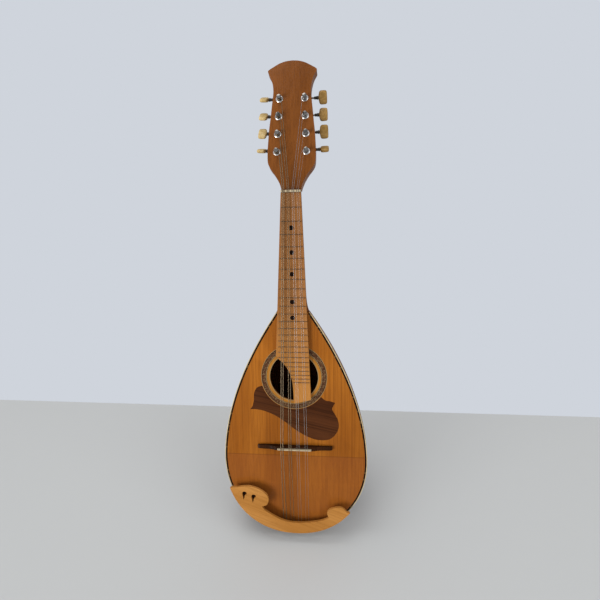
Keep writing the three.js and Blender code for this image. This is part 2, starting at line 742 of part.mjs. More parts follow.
// The tuners: a plate on each side of the head, with four posts, worms and buttons

const plateFront = headThickness + seatGap;
const plateBack = plateFront + plateThickness;
const wormTip = wormRadius + toothAddendum;
const wormAxisDepth = plateBack + wormTip + runningGap;
const wormAbovePost = gearRadius + wormRadius;
const gearFront = wormAxisDepth - gearWidth / 2;
const gearBack = wormAxisDepth + gearWidth / 2;
const toothPitch = (2 * Math.PI * gearRadius) / gearTeeth;
const leadAngle = Math.atan(toothPitch / (2 * Math.PI * wormRadius));

/** Makes a gear wheel round the y axis, its teeth slanted to the worm's lead and a space at +Z. */
function makeGear() {
  const twist = (Math.tan(leadAngle) * gearWidth) / 2 / gearRadius;
  const toothAngle = (2 * Math.PI) / gearTeeth;
  const halfTip = (toothThicknessShare - toothTaperShare) / 2;
  const halfRoot = (toothThicknessShare + toothTaperShare) / 2;
  const tip = gearRadius + toothAddendum;
  const root = gearRadius - toothDedendum;
  const corners = [[-halfRoot, root], [-halfTip, tip], [halfTip, tip], [halfRoot, root]];
  const rings = [[gearFront, twist], [gearBack, -twist]].map(([depth, turn]) => (
    Array.from({ length: gearTeeth }, (_, tooth) => corners.map(([share, radius]) => {
      const angle = (tooth + 0.5 + share) * toothAngle + turn;
      return new THREE.Vector3(radius * Math.sin(angle), depth, radius * Math.cos(angle));
    })).flat()));
  return loft(rings);
}

const postProfile = [
  [0, -postHeight], [postRadius, -postHeight],
  [postRadius, headThickness], [journalRadius, headThickness], [journalRadius, plateBack + runningGap],
  [postRadius, plateBack + runningGap], [postRadius, gearBack], [gearScrewRadius, gearBack],
  [gearScrewRadius, gearBack + gearScrewHeight], [0, gearBack + gearScrewHeight],
].map(([radius, depth]) => new THREE.Vector2(radius, depth));
const postSolid = toSolid(new THREE.LatheGeometry(postProfile, postSides)).add(toSolid(makeGear()));
const postGeometry = toGeometry(postSolid);

/** Makes a worm on its shaft along the x axis, the thread's ridge in a gear space at x = 0. */
function makeWorm(innerEnd, outerEnd) {
  const shaft = new THREE.CylinderGeometry(shaftRadius, shaftRadius, outerEnd - innerEnd, shaftSides);
  shaft.rotateZ(quarterTurn);
  shaft.translate((innerEnd + outerEnd) / 2, 0, 0);
  const halfTip = ((toothThicknessShare - toothTaperShare) * toothPitch) / 2;
  const halfRoot = ((toothThicknessShare + toothTaperShare) * toothPitch) / 2;
  const corners = [
    [-halfRoot, wormRootRadius], [-halfTip, wormTip], [halfTip, wormTip], [halfRoot, wormRootRadius],
  ];
  const steps = Math.round(wormTurns * wormStepsPerTurn);
  const rings = Array.from({ length: steps + 1 }, (_, step) => {
    const turns = (step / steps - 0.5) * wormTurns;
    const angle = turns * 2 * Math.PI;
    return corners.map(([along, radius]) => new THREE.Vector3(
      toothPitch * turns + along, radius * Math.sin(angle), -radius * Math.cos(angle)));
  });
  return toGeometry(toSolid(shaft).add(toSolid(loft(rings))));
}

const wormHalfLength = (toothPitch * (wormTurns + toothThicknessShare + toothTaperShare)) / 2;
const lugInner = wormHalfLength + runningGap;
const lugOuter = lugInner + lugThickness;
const shaftInnerEnd = -lugOuter - runningGap;
const wormGeometry = makeWorm(shaftInnerEnd, buttonPlace - seatGap);
const lugHalfHeight = shaftRadius + runningGap + lugWall;
const lugHole = (shaftRadius + runningGap) / Math.cos(Math.PI / shaftSides);

/** Makes one bearing lug, standing on the plate with a hole for the worm's shaft. */
function makeLug(across, along) {
  const outline = rectangle(plateBack - plateThickness / 2, along - lugHalfHeight,
    wormAxisDepth + lugHalfHeight, along + lugHalfHeight);
  const hole = toSolid(sideProfile(circle(wormAxisDepth, along, lugHole, shaftSides), cutOverrun, across));
  return toSolid(sideProfile(outline, lugThickness, across)).subtract(hole);
}

/** Makes a tuner plate with its post holes and bearing lugs. */
function makeTunerPlate() {
  const low = -plateEndMargin;
  const high = postRowLength + wormAbovePost + lugHalfHeight + plateEndMargin / 2;
  const journalHole = (journalRadius + runningGap) / Math.cos(Math.PI / postSides);
  const holes = Array.from({ length: postsPerSide }, (_, index) => (
    circle(0, postSpacing * index, journalHole, postSides)));
  const halfWidth = lugOuter + plateSideMargin;
  const corner = halfWidth / 2;
  const outline = [
    [-halfWidth, low + corner], [-corner, low], [corner, low], [halfWidth, low + corner],
    [halfWidth, high - corner], [corner, high], [-corner, high], [-halfWidth, high - corner],
  ].map(([across, along]) => new THREE.Vector2(across, along));
  const lugMiddle = (lugInner + lugOuter) / 2;
  const lugs = Array.from({ length: postsPerSide }, (_, index) => (
    headSides.map((side) => makeLug(side * lugMiddle, postSpacing * index + wormAbovePost)))).flat();
  const plate = toSolid(plateBetween(outline, plateFront, plateBack, holes));
  return toGeometry(lugs.reduce((whole, lug) => whole.add(lug), plate));
}

const buttonShares = [
  [0, 0, 0], [0.2, 0, 0], [0.27, 0.82, 0.85], [0.42, 1, 1], [0.76, 1, 1], [0.94, 0.93, 0.85], [1, 0.7, 0.5],
];

/** Makes a flat button with round corners along the x axis, with a round collar at its inner end. */
function makeButton() {
  return loft(buttonShares.map(([along, height, thickness]) => {
    const halfHeight = Math.max(buttonHalfHeight * height, height > 0 ? 0 : buttonCollarRadius);
    const halfThickness = Math.max(buttonHalfThickness * thickness, thickness > 0 ? 0 : buttonCollarRadius);
    return circle(0, 0, 1, buttonSides).map((point) => new THREE.Vector3(
      buttonLength * along, halfThickness * point.x, halfHeight * point.y));
  }));
}

const buttonGeometry = makeButton();
const rows = headSides.map((side) => {
  const row = new THREE.Group();
  row.position.set(side * firstPostHalfSpacing, 0, firstPostPlace);
  row.rotation.y = -side * rowAngle;
  head.add(row);
  addPiece(side < 0 ? 'tuner_plate_left' : 'tuner_plate_right', makeTunerPlate(), 'steel', row);
  return row;
});

tuners.forEach(({ side, index }) => {
  const number = index + 1 + (side > 0 ? postsPerSide : 0);
  const row = rows[headSides.indexOf(side)];
  const post = addPiece(`string_post_${number}`, postGeometry, 'steel', row);
  post.position.z = postSpacing * index;
  const drive = new THREE.Group();
  drive.position.set(0, wormAxisDepth, postSpacing * index + wormAbovePost);
  drive.rotation.z = side < 0 ? Math.PI : 0;
  row.add(drive);
  addPiece(`worm_shaft_${number}`, wormGeometry, 'steel', drive);
  const button = addPiece(`button_${number}`, buttonGeometry, 'cream', drive);
  button.position.x = buttonPlace;
  button.rotation.x = (side < 0 ? leftButtonTurns : rightButtonTurns)[index];
});

// The strings, each one tube from its hook, over saddle and nut, and round its post

instrument.updateMatrixWorld(true);
const fromHead = new THREE.Matrix4().copy(instrument.matrixWorld).invert().multiply(head.matrixWorld);
const fromTail = new THREE.Matrix4().copy(instrument.matrixWorld).invert().multiply(tailEnd.matrixWorld);
const toHead = fromHead.clone().invert();

/** Gives the winding of a string round its post, starting where the string first touches it. */
function windingPoints(nutPoint, tuner, radius) {
  const start = nutPoint.clone().applyMatrix4(toHead);
  const reach = postRadius + seatGap + radius;
  const away = new THREE.Vector2(start.x - tuner.across, start.z - tuner.along);
  const touchAngle = Math.atan2(away.y, away.x) - tuner.side * Math.acos(reach / away.length());
  const pitch = 2 * radius + windingGap;
  const steps = Math.round(windingLoops * windingSteps);
  return Array.from({ length: steps + 1 }, (_, step) => {
    const turns = step / windingSteps;
    const angle = touchAngle - tuner.side * turns * 2 * Math.PI;
    return new THREE.Vector3(
      tuner.across + reach * Math.cos(angle),
      -windingHeight - pitch * turns,
      tuner.along + reach * Math.sin(angle)).applyMatrix4(fromHead);
  });
}

/** Gives a string's whole route. */
function stringRoute(index, radius) {
  const tuner = index < pairCount
    ? tuners.find(({ side, index: place }) => side < 0 && place === index)
    : tuners.find(({ side, index: place }) => side > 0 && place === stringCount - 1 - index);
  const atTail = stringAcross(index, courseSpacingAtTail, pairSpacingAtTail);
  const atSaddle = stringAcross(index, courseSpacingAtSaddle, pairSpacingAtSaddle);
  const atNut = stringAcross(index, courseSpacingAtNut, pairSpacingAtNut);
  const tail = new THREE.Vector3(atTail, tailpieceFront - hookHeight / 2,
    -cantLength + hookPlace + hookRadius + seatGap).applyMatrix4(fromTail);
  const overSaddle = saddleTop - seatGap - radius;
  const overNut = nutFront - seatGap - radius;
  const saddleBack = new THREE.Vector3(atSaddle, overSaddle, bridgePlace - saddleThickness / 2);
  const saddleLip = new THREE.Vector3(atSaddle, overSaddle, bridgePlace + saddleThickness / 2);
  const nutLip = new THREE.Vector3(atNut, overNut, nutPlace);
  const nutBack = new THREE.Vector3(atNut, overNut, nutPlace + nutThickness);
  return [tail, saddleBack, saddleLip, nutLip, nutBack, ...windingPoints(nutBack, tuner, radius)];
}

/** Makes a tube of even radius along a route, closed at both ends. */
function makeTube(route, radius, sides) {
  const directions = route.map((point, index) => {
    const before = route[Math.max(0, index - 1)];
    const after = route[Math.min(route.length - 1, index + 1)];
    const incoming = point.clone().sub(before).normalize();
    const outgoing = after.clone().sub(point).normalize();
    return incoming.add(outgoing).normalize();
  });
  let across = new THREE.Vector3(1, 0, 0);
  const rings = route.map((point, index) => {
    across = across.clone().addScaledVector(directions[index], -across.dot(directions[index])).normalize();
    const up = directions[index].clone().cross(across);
    return circle(0, 0, radius, sides).map((corner) => (
      point.clone().addScaledVector(across, corner.x).addScaledVector(up, corner.y)));
  });
  return loft(rings);
}

/** Measures the least gap of a tube to itself, between points more than a few steps apart. */
function leastGap(route, radius) {
  const apart = Math.round(windingSteps / 3);
  const distances = route.flatMap((point, index) => (
    route.slice(index + apart).map((other) => point.distanceTo(other))));
  return Math.min(...distances) - 2 * radius;
}

const courseNames = ['g', 'd', 'a', 'e'];
stringPlaces.forEach((index) => {
  const letter = courseNames[Math.floor(index / 2)];
  const radius = stringRadii[letter];
  const name = `string_${letter}${(index % 2) + 1}`;
  const route = stringRoute(index, radius);
  console.log(`${name}: least gap to itself ${leastGap(route, radius).toFixed(2)} mm`);
  addPiece(name, makeTube(route, radius, stringSides), index < pairCount ? 'bronze' : 'steel');
});

export default instrument;
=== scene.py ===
"""The looks of a round-backed mandolin: woods, metal, bone and strings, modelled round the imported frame.

Shapes are made in millimetres, measured from the tail end of the soundboard as a maker measures them,
and each finished mesh is then moved into the frame.
"""

import logging
import math
from collections.abc import Callable, Iterator, Sequence
from contextlib import contextmanager
from dataclasses import dataclass, field
from enum import Enum

import bpy
from mathutils import Matrix, Vector


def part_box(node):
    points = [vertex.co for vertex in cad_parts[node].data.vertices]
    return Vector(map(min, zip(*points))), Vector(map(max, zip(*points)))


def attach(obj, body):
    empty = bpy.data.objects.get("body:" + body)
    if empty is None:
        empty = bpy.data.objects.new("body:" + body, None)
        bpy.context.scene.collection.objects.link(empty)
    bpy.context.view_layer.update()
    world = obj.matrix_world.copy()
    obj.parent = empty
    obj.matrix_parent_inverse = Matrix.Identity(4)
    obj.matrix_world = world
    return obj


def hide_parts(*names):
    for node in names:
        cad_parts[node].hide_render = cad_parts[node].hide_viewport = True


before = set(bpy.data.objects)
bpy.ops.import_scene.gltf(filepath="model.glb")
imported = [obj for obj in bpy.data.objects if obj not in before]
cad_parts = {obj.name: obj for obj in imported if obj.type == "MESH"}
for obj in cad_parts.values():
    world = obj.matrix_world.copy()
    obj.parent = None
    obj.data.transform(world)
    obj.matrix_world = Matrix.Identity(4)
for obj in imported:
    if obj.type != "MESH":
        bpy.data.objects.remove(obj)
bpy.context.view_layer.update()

log = logging.getLogger("mandolin")

MM = 0.001
FULL_TURN = 2 * math.pi
QUARTER = math.pi / 2
ROOT = "root"
PHOTO_SIDE = 600

Point = tuple[float, float]
Point3 = tuple[float, float, float]
Line = Sequence[Point]
Route = Sequence[Vector]
Piece = bpy.types.Object
Material = bpy.types.Material
Socket = bpy.types.NodeSocket


# The layout, taken from the frame

JOINT_GAP = 0.3
ORIGIN = Vector((0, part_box("soundboard")[0].y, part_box("binding")[0].z))
LAYOUT = Matrix.Translation(ORIGIN) @ Matrix.Scale(MM, 4)


def layout_box(node: str) -> tuple[Vector, Vector]:
    """Gives a node's lowest and highest corners in the maker's layout, in millimetres."""
    low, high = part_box(node)
    return (low - ORIGIN) / MM, (high - ORIGIN) / MM


def middle(node: str) -> Vector:
    """Gives the middle of a node's box in the layout."""
    low, high = layout_box(node)
    return (low + high) / 2


NUT_PLACE = layout_box("nut")[0].z
NUT_THICKNESS = 5.0
BRIDGE_PLACE = middle("bridge_base").z
HOLE_PLACE = middle("rosette").z
HOLE_RADIUS = 33.0
BODY_LENGTH = layout_box("binding")[1].z + JOINT_GAP
BODY_HALF_WIDTH = layout_box("binding")[1].x
CANT_ANGLE = math.radians(4)
CANT_BELOW_BRIDGE = 13.5
CANT_PLACE = BRIDGE_PLACE - CANT_BELOW_BRIDGE
CANT_LENGTH = CANT_PLACE / math.cos(CANT_ANGLE)
HEAD_ANGLE = math.radians(12)
HEAD = Matrix.Translation((0, 0, NUT_PLACE + NUT_THICKNESS)) @ Matrix.Rotation(-HEAD_ANGLE, 4, "X")
TAIL = Matrix.Translation((0, 0, CANT_PLACE)) @ Matrix.Rotation(CANT_ANGLE, 4, "X")
ON_HEAD = LAYOUT @ HEAD
ON_TAIL = LAYOUT @ TAIL
CREASE_HALF_WIDTH = 1.2
BARE_BELOW_NUT = (285, 125)


def frame_height(place: float) -> float:
    """Turns a height in the layout into a height in the frame, in metres."""
    return ORIGIN.z + place * MM


# Shader maths


def operator(operation: str, backwards: bool = False) -> Callable[["Field", "Field | float"], "Field"]:
    """Makes an operator of Field from a Math node.

    Args:
        operation: The node's operation.
        backwards: Whether the other value comes first.

    Returns:
        The method.
    """

    def apply(first: "Field", second: "Field | float") -> "Field":
        """Works on a field and another value."""
        return first.paint.maths(operation, *((second, first) if backwards else (first, second)))

    return apply


class Field:
    """A number that varies over a surface: one output socket of a material's nodes."""

    def __init__(self, paint: "Paint", socket: Socket) -> None:
        """Keeps the material and the socket."""
        self.paint = paint
        self.socket = socket

    __add__ = operator("ADD")
    __sub__ = operator("SUBTRACT")
    __rsub__ = operator("SUBTRACT", True)
    __mul__ = operator("MULTIPLY")
    __truediv__ = operator("DIVIDE")
    __gt__ = operator("GREATER_THAN")


class NodeWork:
    """A node tree in the making, with one short way to add any node."""

    def __init__(self, tree: bpy.types.NodeTree) -> None:
        """Keeps the tree."""
        self.tree = tree

    def node(
        self, kind: str, settings: dict[str, object] | None = None, inputs: dict | None = None
    ) -> bpy.types.Node:
        """Adds any node.

        Args:
            kind: The node's type.
            settings: Its own settings.
            inputs: Values or links for its sockets, by name or number.

        Returns:
            The new node.
        """
        made = self.tree.nodes.new(kind)
        for key, value in (settings or {}).items():
            setattr(made, key, value)
        for key, value in (inputs or {}).items():
            self.feed(made.inputs[key], value)
        return made

    def feed(self, socket: Socket, value: object) -> None:
        """Links a field or socket into a socket, or sets its plain value.

        Args:
            socket: The socket to feed.
            value: A field, a socket or a plain value.
        """
        if isinstance(value, Field):
            self.tree.links.new(value.socket, socket)
        elif isinstance(value, Socket):
            self.tree.links.new(value, socket)
        else:
            socket.default_value = value


class Paint(NodeWork):
    """A material in the making."""

    def __init__(self, name: str) -> None:
        """Starts a material that holds one plain shader.

        Args:
            name: The material's name.
        """
        self.material = bpy.data.materials.new(name)
        self.material.use_nodes = True
        super().__init__(self.material.node_tree)
        self.shader = next(node for node in self.tree.nodes if node.type == "BSDF_PRINCIPLED")

    def field(self, kind: str, settings: dict | None, inputs: dict) -> Field:
        """Adds any node and gives its first output as a field."""
        return Field(self, self.node(kind, settings, inputs).outputs[0])

    def maths(self, operation: str, first: Field | float, second: Field | float = 0.0) -> Field:
        """Adds a Math node on two values."""
        return self.field("ShaderNodeMath", {"operation": operation}, {0: first, 1: second})

    def mix(self, factor: Field | float, first: object, second: object) -> Socket:
        """Blends two colours by a factor, and gives the colour's socket."""
        settings = {"data_type": "RGBA", "clamp_factor": True}
        return self.node("ShaderNodeMix", settings, {0: factor, 6: first, 7: second}).outputs[2]

    def turned(self, vector: object, angle: float) -> Socket:
        """Turns a vector round the y axis."""
        return self.node("ShaderNodeMapping", None, {"Vector": vector, "Rotation": (0, angle, 0)}).outputs[0]

    def noise(
        self, vector: object, scale: Sequence[float], detail: float = 2.0, roughness: float = 0.5,
        warp: float = 0.0
    ) -> Field:
        """Gives soft noise from 0 to 1 on a stretched vector.

        Args:
            vector: The place that the noise follows.
            scale: Its stretch in each direction.
            detail: Layers of finer noise.
            roughness: How strong the finer layers are.
            warp: How far the noise bends itself.

        Returns:
            The noise.
        """
        stretched = self.node("ShaderNodeVectorMath", {"operation": "MULTIPLY"}, {0: vector, 1: scale})
        return self.field("ShaderNodeTexNoise", None, {
            "Vector": stretched.outputs[0], "Scale": 1.0, "Detail": detail, "Roughness": roughness,
            "Distortion": warp})

    def between(self, value: Field, low: float, high: float) -> Field:
        """Rises smoothly from 0 at low to 1 at high."""
        smooth = {"interpolation_type": "SMOOTHSTEP"}
        return self.field("ShaderNodeMapRange", smooth, {0: value, 1: low, 2: high})

    def stain(
        self, colour: object, where: Field, edges: Point, amount: float, code: str, strength: float = 1.0
    ) -> Socket:
        """Blends a tone into a colour where a field rises from one edge to the other."""
        return self.mix(self.between(where, *edges) * amount, colour, tint(code, strength))

    def object_place(self) -> Socket:
        """Gives the place on the object, in metres."""
        return self.node("ShaderNodeTexCoord").outputs["Object"]

    def surface_place(self) -> Socket:
        """Gives the piece's own surface place: across in x and along in z, in metres.

        Returns:
            The vector's socket.
        """
        flat = self.node("ShaderNodeUVMap", {"uv_map": SURFACE_MAP}).outputs[0]
        parts = self.node("ShaderNodeSeparateXYZ", None, {0: flat}).outputs
        return self.node("ShaderNodeCombineXYZ", None, {0: parts[0], 2: parts[1]}).outputs[0]

    def split(self, vector: object) -> tuple[Field, Field, Field]:
        """Gives a vector's three numbers."""
        parts = self.node("ShaderNodeSeparateXYZ", None, {0: vector}).outputs
        return Field(self, parts[0]), Field(self, parts[1]), Field(self, parts[2])

    def edge_wear(self) -> Field:
        """Gives 1 along sharp outer edges and 0 on flat stretches."""
        sharpness = self.node("ShaderNodeNewGeometry").outputs["Pointiness"]
        return self.between(Field(self, sharpness), 0.515, 0.6)

    def bump(self, height: Field, depth: float) -> None:
        """Feeds the shader's normal with a height, in metres at its top."""
        node = self.node("ShaderNodeBump", None, {"Strength": 1.0, "Distance": depth, "Height": height})
        self.feed(self.shader.inputs["Normal"], node.outputs[0])

    def dress(self, colour: object, roughness: Field | float, **sockets: object) -> Material:
        """Feeds the shader's colour, roughness and any further sockets, and gives the material.

        Args:
            colour: The base colour.
            roughness: The roughness.
            sockets: Other sockets, with their blanks written as underscores.

        Returns:
            The finished material.
        """
        self.feed(self.shader.inputs["Base Color"], colour)
        self.feed(self.shader.inputs["Roughness"], roughness)
        for name, value in sockets.items():
            self.feed(self.shader.inputs[name.replace("_", " ")], value)
        return self.material


SURFACE_MAP = "UVMap"
LACQUER = {"Coat_Roughness": 0.2, "Specular_IOR_Level": 0.0}


def tint(code: str, strength: float = 1.0) -> tuple[float, float, float, float]:
    """Turns a colour such as #8a5a2b into the numbers that a shader reads.

    Args:
        code: Two hexadecimal digits each for red, green and blue.
        strength: A factor on all three.

    Returns:
        Red, green, blue and a full alpha.
    """
    parts = [int(code[start:start + 2], 16) / 255 for start in (1, 3, 5)]
    linear = [part / 12.92 if part <= 0.04045 else ((part + 0.055) / 1.055) ** 2.4 for part in parts]
    return (*(strength * part for part in linear), 1.0)


class Grain(Enum):
    """What a pattern follows."""

    OBJECT = "object"
    SURFACE = "surface"


@dataclass(frozen=True)
class Fade:
    """A change of a wood's tone below a height in the frame; on a bend, the darker tone below it and a dark
    line along the crease are painted shade.
    """

    low: float
    high: float
    tone: str
    amount: float
    painted_crease_shade: float = 0.0

    def apply(self, paint: Paint, colour: Socket) -> Socket:
        """Blends a colour towards the tone below the height, and paints shade along the crease.

        Args:
            paint: The material in the making.
            colour: Its colour so far.

        Returns:
            The blended colour.
        """
        _, _, along = paint.split(paint.object_place())
        below = 1 - paint.between(along, self.low, self.high)
        # Below the height: the wood's own change of tone, or on a bend painted shade.
        colour = paint.mix(below * self.amount, colour, tint(self.tone))
        centre = (self.low + self.high) / 2
        # Painted shade along the crease of a bend: a dark line at the height.
        line = paint.between(along, self.low, centre) * (1 - paint.between(along, centre, self.high))
        return paint.mix(line * self.painted_crease_shade, colour, tint(self.tone, 0.4))


@dataclass(frozen=True)
class WoodFinish:
    """A lacquered wood with grain lines along the neck, or along the piece's own surface."""

    name: str
    slot: str
    pale: str
    deep: str
    line: str
    spacing: float = 1.4
    contrast: float = 0.5
    pores: float = 0.0
    cloud: float = 0.3
    gloss: float = 0.35
    coat: float = 0.1
    follows: Grain = Grain.OBJECT
    turn: float = 0.0
    fade: Fade | None = None
    even: float = 0.0

    def make(self) -> Material:
        """Builds the wood: cloudy tone, wavering grain lines, fine fibre, pores and rubbed edges.

        Returns:
            The finished material.
        """
        paint = Paint(self.name)
        place = paint.surface_place() if self.follows is Grain.SURFACE else paint.object_place()
        if self.turn:
            place = paint.turned(place, self.turn)
        step = self.spacing * MM
        waver = paint.noise(place, (14, 14, 3), 2)
        lines = paint.noise(place, (1 / step, 0.6 / step, 0.012 / step), 3, 0.55, 0.15)
        if self.even:
            across, _, _ = paint.split(place)
            rings = paint.maths("SINE", (across / step + waver * 4) * FULL_TURN)
            lines = lines * (1 - self.even) + (rings * 0.5 + 0.5) * self.even
        fibre = paint.noise(place, (5 / step, 5 / step, 0.09 / step), 2, 0.6)
        tone = paint.noise(place, (22, 22, 5), 3, 0.6)
        ground = paint.mix(
            paint.between(tone + (waver - 0.5) * self.cloud, 0.32, 0.68), tint(self.pale), tint(self.deep))
        grain = paint.between(lines, 0.44, 0.66)
        colour = paint.mix(grain * self.contrast, ground, tint(self.line))
        colour = paint.stain(colour, fibre, (0.35, 0.75), 0.35 * self.contrast, self.line)
        height = (1 - grain) * 0.5 + fibre * 0.3
        if self.pores:
            streaks = paint.noise(place, (2600, 2600, 95), 1, 0.4)
            pore = paint.between(streaks, 0.66, 0.74)
            colour = paint.mix(pore * self.pores, colour, tint(self.line, 0.45))
            height = height - pore
        # The fade: a real change of tone, or on the bent soundboard painted shade below the bend and along
        # its crease.
        if self.fade:
            colour = self.fade.apply(paint, colour)
        wear = paint.edge_wear()
        colour = paint.mix(wear * 0.35, colour, tint(self.pale, 1.15))
        smear = paint.noise(place, (60, 60, 40), 3, 0.6)
        rough = smear * 0.16 + (self.gloss - 0.08) + wear * 0.12
        paint.bump(height, 0.00006)
        return paint.dress(
            colour, rough, Coat_Weight=smear * (0.8 * self.coat) + 0.6 * self.coat, **LACQUER)


@dataclass(frozen=True)
class MetalFinish:
    """A plated or wound metal with smears, fine scratches and tarnish, and painted shade in a wound string's
    grooves.
    """

    name: str
    slot: str
    bright: str
    tarnish_and_groove_shade: str
    gloss: float = 0.22
    age: float = 0.35
    ribbed: float = 0.0

    def make(self) -> Material:
        """Builds the metal, with close ribs along the neck where it is a wound string, their grooves darkened
        as painted shade.

        Returns:
            The finished material.
        """
        paint = Paint(self.name)
        place = paint.object_place()
        smear = paint.noise(place, (160, 160, 160), 3, 0.65)
        spots = paint.noise(place, (900, 900, 900), 2, 0.6)
        scratch = paint.noise(place, (2500, 300, 700), 2, 0.5)
        dull = paint.between(smear, 0.42, 0.72) * self.age + paint.between(spots, 0.6, 0.8) * (0.4 * self.age)
        wear = paint.edge_wear()
        colour = paint.mix(dull, tint(self.bright), tint(self.tarnish_and_groove_shade))
        colour = paint.mix(wear * 0.4, colour, tint(self.bright, 1.12))
        height = scratch * 0.2
        if self.ribbed:
            _, _, along = paint.split(place)
            ribs = paint.maths("SINE", along * (FULL_TURN / (self.ribbed * MM)))
            # Painted shade: the grooves between the windings are darkened.
            colour = paint.stain(colour, ribs, (0.2, -0.9), 0.6, self.tarnish_and_groove_shade, 0.5)
            height = ribs * 0.5 + height
        paint.bump(height, 0.00003)
        rough = dull * 0.3 + scratch * 0.1 + (self.gloss - 0.06)
        return paint.dress(colour, rough, Metallic=1.0)


@dataclass(frozen=True)
class MouldedFinish:
    """Cream plastic, bone or felt, clouded, with a film of dirt and paler rubbed edges."""

    name: str
    slot: str
    pale: str
    deep: str
    dirt: str
    gloss: float = 0.3
    swirl: float = 90.0
    soil: float = 0.4
    coat: float = 0.2

    def make(self) -> Material:
        """Builds the cloudy ground, streaks along the piece and a film of dirt.

        Returns:
            The finished material.
        """
        paint = Paint(self.name)
        place = paint.object_place()
        cloud = paint.noise(place, (self.swirl, self.swirl, self.swirl), 3, 0.55, 1.2)
        streak = paint.noise(place, (700, 700, 120), 2, 0.6)
        film = paint.noise(place, (260, 260, 260), 3, 0.7)
        colour = paint.mix(paint.between(cloud, 0.35, 0.65), tint(self.pale), tint(self.deep))
        colour = paint.stain(colour, streak, (0.55, 0.8), 0.3, self.deep, 0.85)
        colour = paint.stain(colour, film, (0.55, 0.8), self.soil, self.dirt)
        wear = paint.edge_wear()
        colour = paint.mix(wear * 0.3, colour, tint(self.pale, 1.05))
        paint.bump(streak * 0.4 + film * 0.3, 0.00004)
        return paint.dress(colour, film * 0.2 + (self.gloss - 0.1), Coat_Weight=self.coat, **LACQUER)


@dataclass(frozen=True)
class MosaicFinish:
    """Small slips of coloured wood laid side by side along a ring or an edge."""

    name: str
    slot: str
    dark: str
    mid: str
    pale: str
    slip: float
    row_width: float
    share: float

    def make(self) -> Material:
        """Builds the slips from the piece's own surface map: across in x, along in y.

        Returns:
            The finished material.
        """
        paint = Paint(self.name)
        flat = paint.node("ShaderNodeUVMap", {"uv_map": SURFACE_MAP}).outputs[0]
        across, along, _ = paint.split(flat)
        row = paint.maths("FLOOR", across / (self.row_width * MM))
        shifted = along / (self.slip * MM) + row * 0.5
        cell = paint.maths("FLOOR", shifted)
        inside = paint.maths("FRACT", shifted)
        joined = paint.node("ShaderNodeCombineXYZ", None, {0: cell, 1: row}).outputs[0]
        chance = paint.field("ShaderNodeTexWhiteNoise", {"noise_dimensions": "2D"}, {"Vector": joined})
        colour = paint.mix(chance > (1 - self.share), tint(self.dark), tint(self.mid))
        colour = paint.mix(chance > (1 - 0.35 * self.share), colour, tint(self.pale))
        seam = 1 - paint.between(inside, 0.0, 0.12) * (1 - paint.between(inside, 0.88, 1.0))
        colour = paint.mix(seam * 0.4, colour, tint(self.dark, 0.6))
        fibre = paint.noise(paint.object_place(), (1800, 1800, 500), 2)
        colour = paint.stain(colour, fibre, (0.5, 0.8), 0.4, self.dark)
        paint.bump(fibre * 0.3 - seam * 0.4, 0.00004)
        return paint.dress(colour, fibre * 0.15 + 0.26, Coat_Weight=0.15, **LACQUER)


# Painted shade: the soundboard is darkened below the bend, with a darker line along its crease.
PAINTED_BEND_SHADE = Fade(
    *(frame_height(CANT_PLACE + side * CREASE_HALF_WIDTH) for side in (-1, 1)), "#7d4420", 0.45, 0.4)
BARE_END = Fade(*(frame_height(NUT_PLACE - below) for below in BARE_BELOW_NUT), "#bd8038", 0.7)
SPRUCE = WoodFinish("spruce", "soundboard_spruce", "#a6641f", "#8e5116", "#532809", 1.8, 0.6, 0.0, 0.35,
                    0.36, 0.16, fade=PAINTED_BEND_SHADE, even=0.3)
STAVE = WoodFinish("stave_wood", "rib_wood", "#774222", "#5a2d14", "#351709", 2.6, 0.5, 0.55, 0.5,
                   0.3, 0.3, Grain.SURFACE)
CLASP_WOOD = WoodFinish("clasp_wood", "rib_wood", "#66391b", "#4d2710", "#2f1508", 3.0, 0.5, 0.5, 0.4,
                        0.3, 0.45, Grain.SURFACE)
HEAD_WOOD = WoodFinish("head_wood", "neck_wood", "#77451c", "#673912", "#44230a", 2.0, 0.26, 0.3, 0.5,
                       0.34, 0.16)
NECK_WOOD = WoodFinish("neck_wood", "neck_wood", "#774520", "#653716", "#44200c", 2.6, 0.4, 0.4, 0.5,
                       0.36, 0.25)
BOARD_WOOD = WoodFinish("board_wood", "fingerboard_wood", "#9d6b3e", "#895930", "#583719", 1.5, 0.6, 0.45,
                        0.5, 0.46, 0.05, fade=BARE_END)
BRIDGE_WOOD = WoodFinish("bridge_wood", "bridge_wood", "#3a1f0e", "#2a1609", "#170b04", 1.6, 0.5, 0.4, 0.4,
                         0.42, 0.08)
GUARD_WOOD = WoodFinish("guard_wood", "pickguard_shell", "#4f2c16", "#3a1d0c", "#231006", 2.2, 0.6, 0.35, 0.9,
                        0.42, 0.1, turn=1.35)
ARM_WOOD = WoodFinish("armrest_wood", "armrest_wood", "#ba8243", "#a77033", "#81521e", 2.8, 0.3, 0.3, 0.5,
                      0.34, 0.16, turn=1.2)
INNER_WOOD = WoodFinish("inner_wood", "inner_spruce", "#b08a5c", "#9a7346", "#735229", 2.0, 0.4, 0.1, 0.4,
                        0.7, 0.0)
INLAY_PALE = WoodFinish("pale_line", "binding_cream", "#97805a", "#866f49", "#644d2c", 1.2, 0.3, 0.1, 0.3,
                        0.34, 0.1)
INLAY_TAN = WoodFinish("tan_ring", "rosette_mosaic", "#a56f2c", "#935f22", "#6b4014", 1.2, 0.4, 0.1, 0.3,
                       0.34, 0.16)
INLAY_DARK = WoodFinish("dark_line", "rosette_mosaic", "#200f07", "#160a04", "#0b0502", 1.2, 0.3, 0.1, 0.3,
                        0.34, 0.08)
BINDING = MouldedFinish("binding", "binding_cream", "#c8b48c", "#b29d75", "#7a6644", 0.36, 60, 0.35, 0.1)
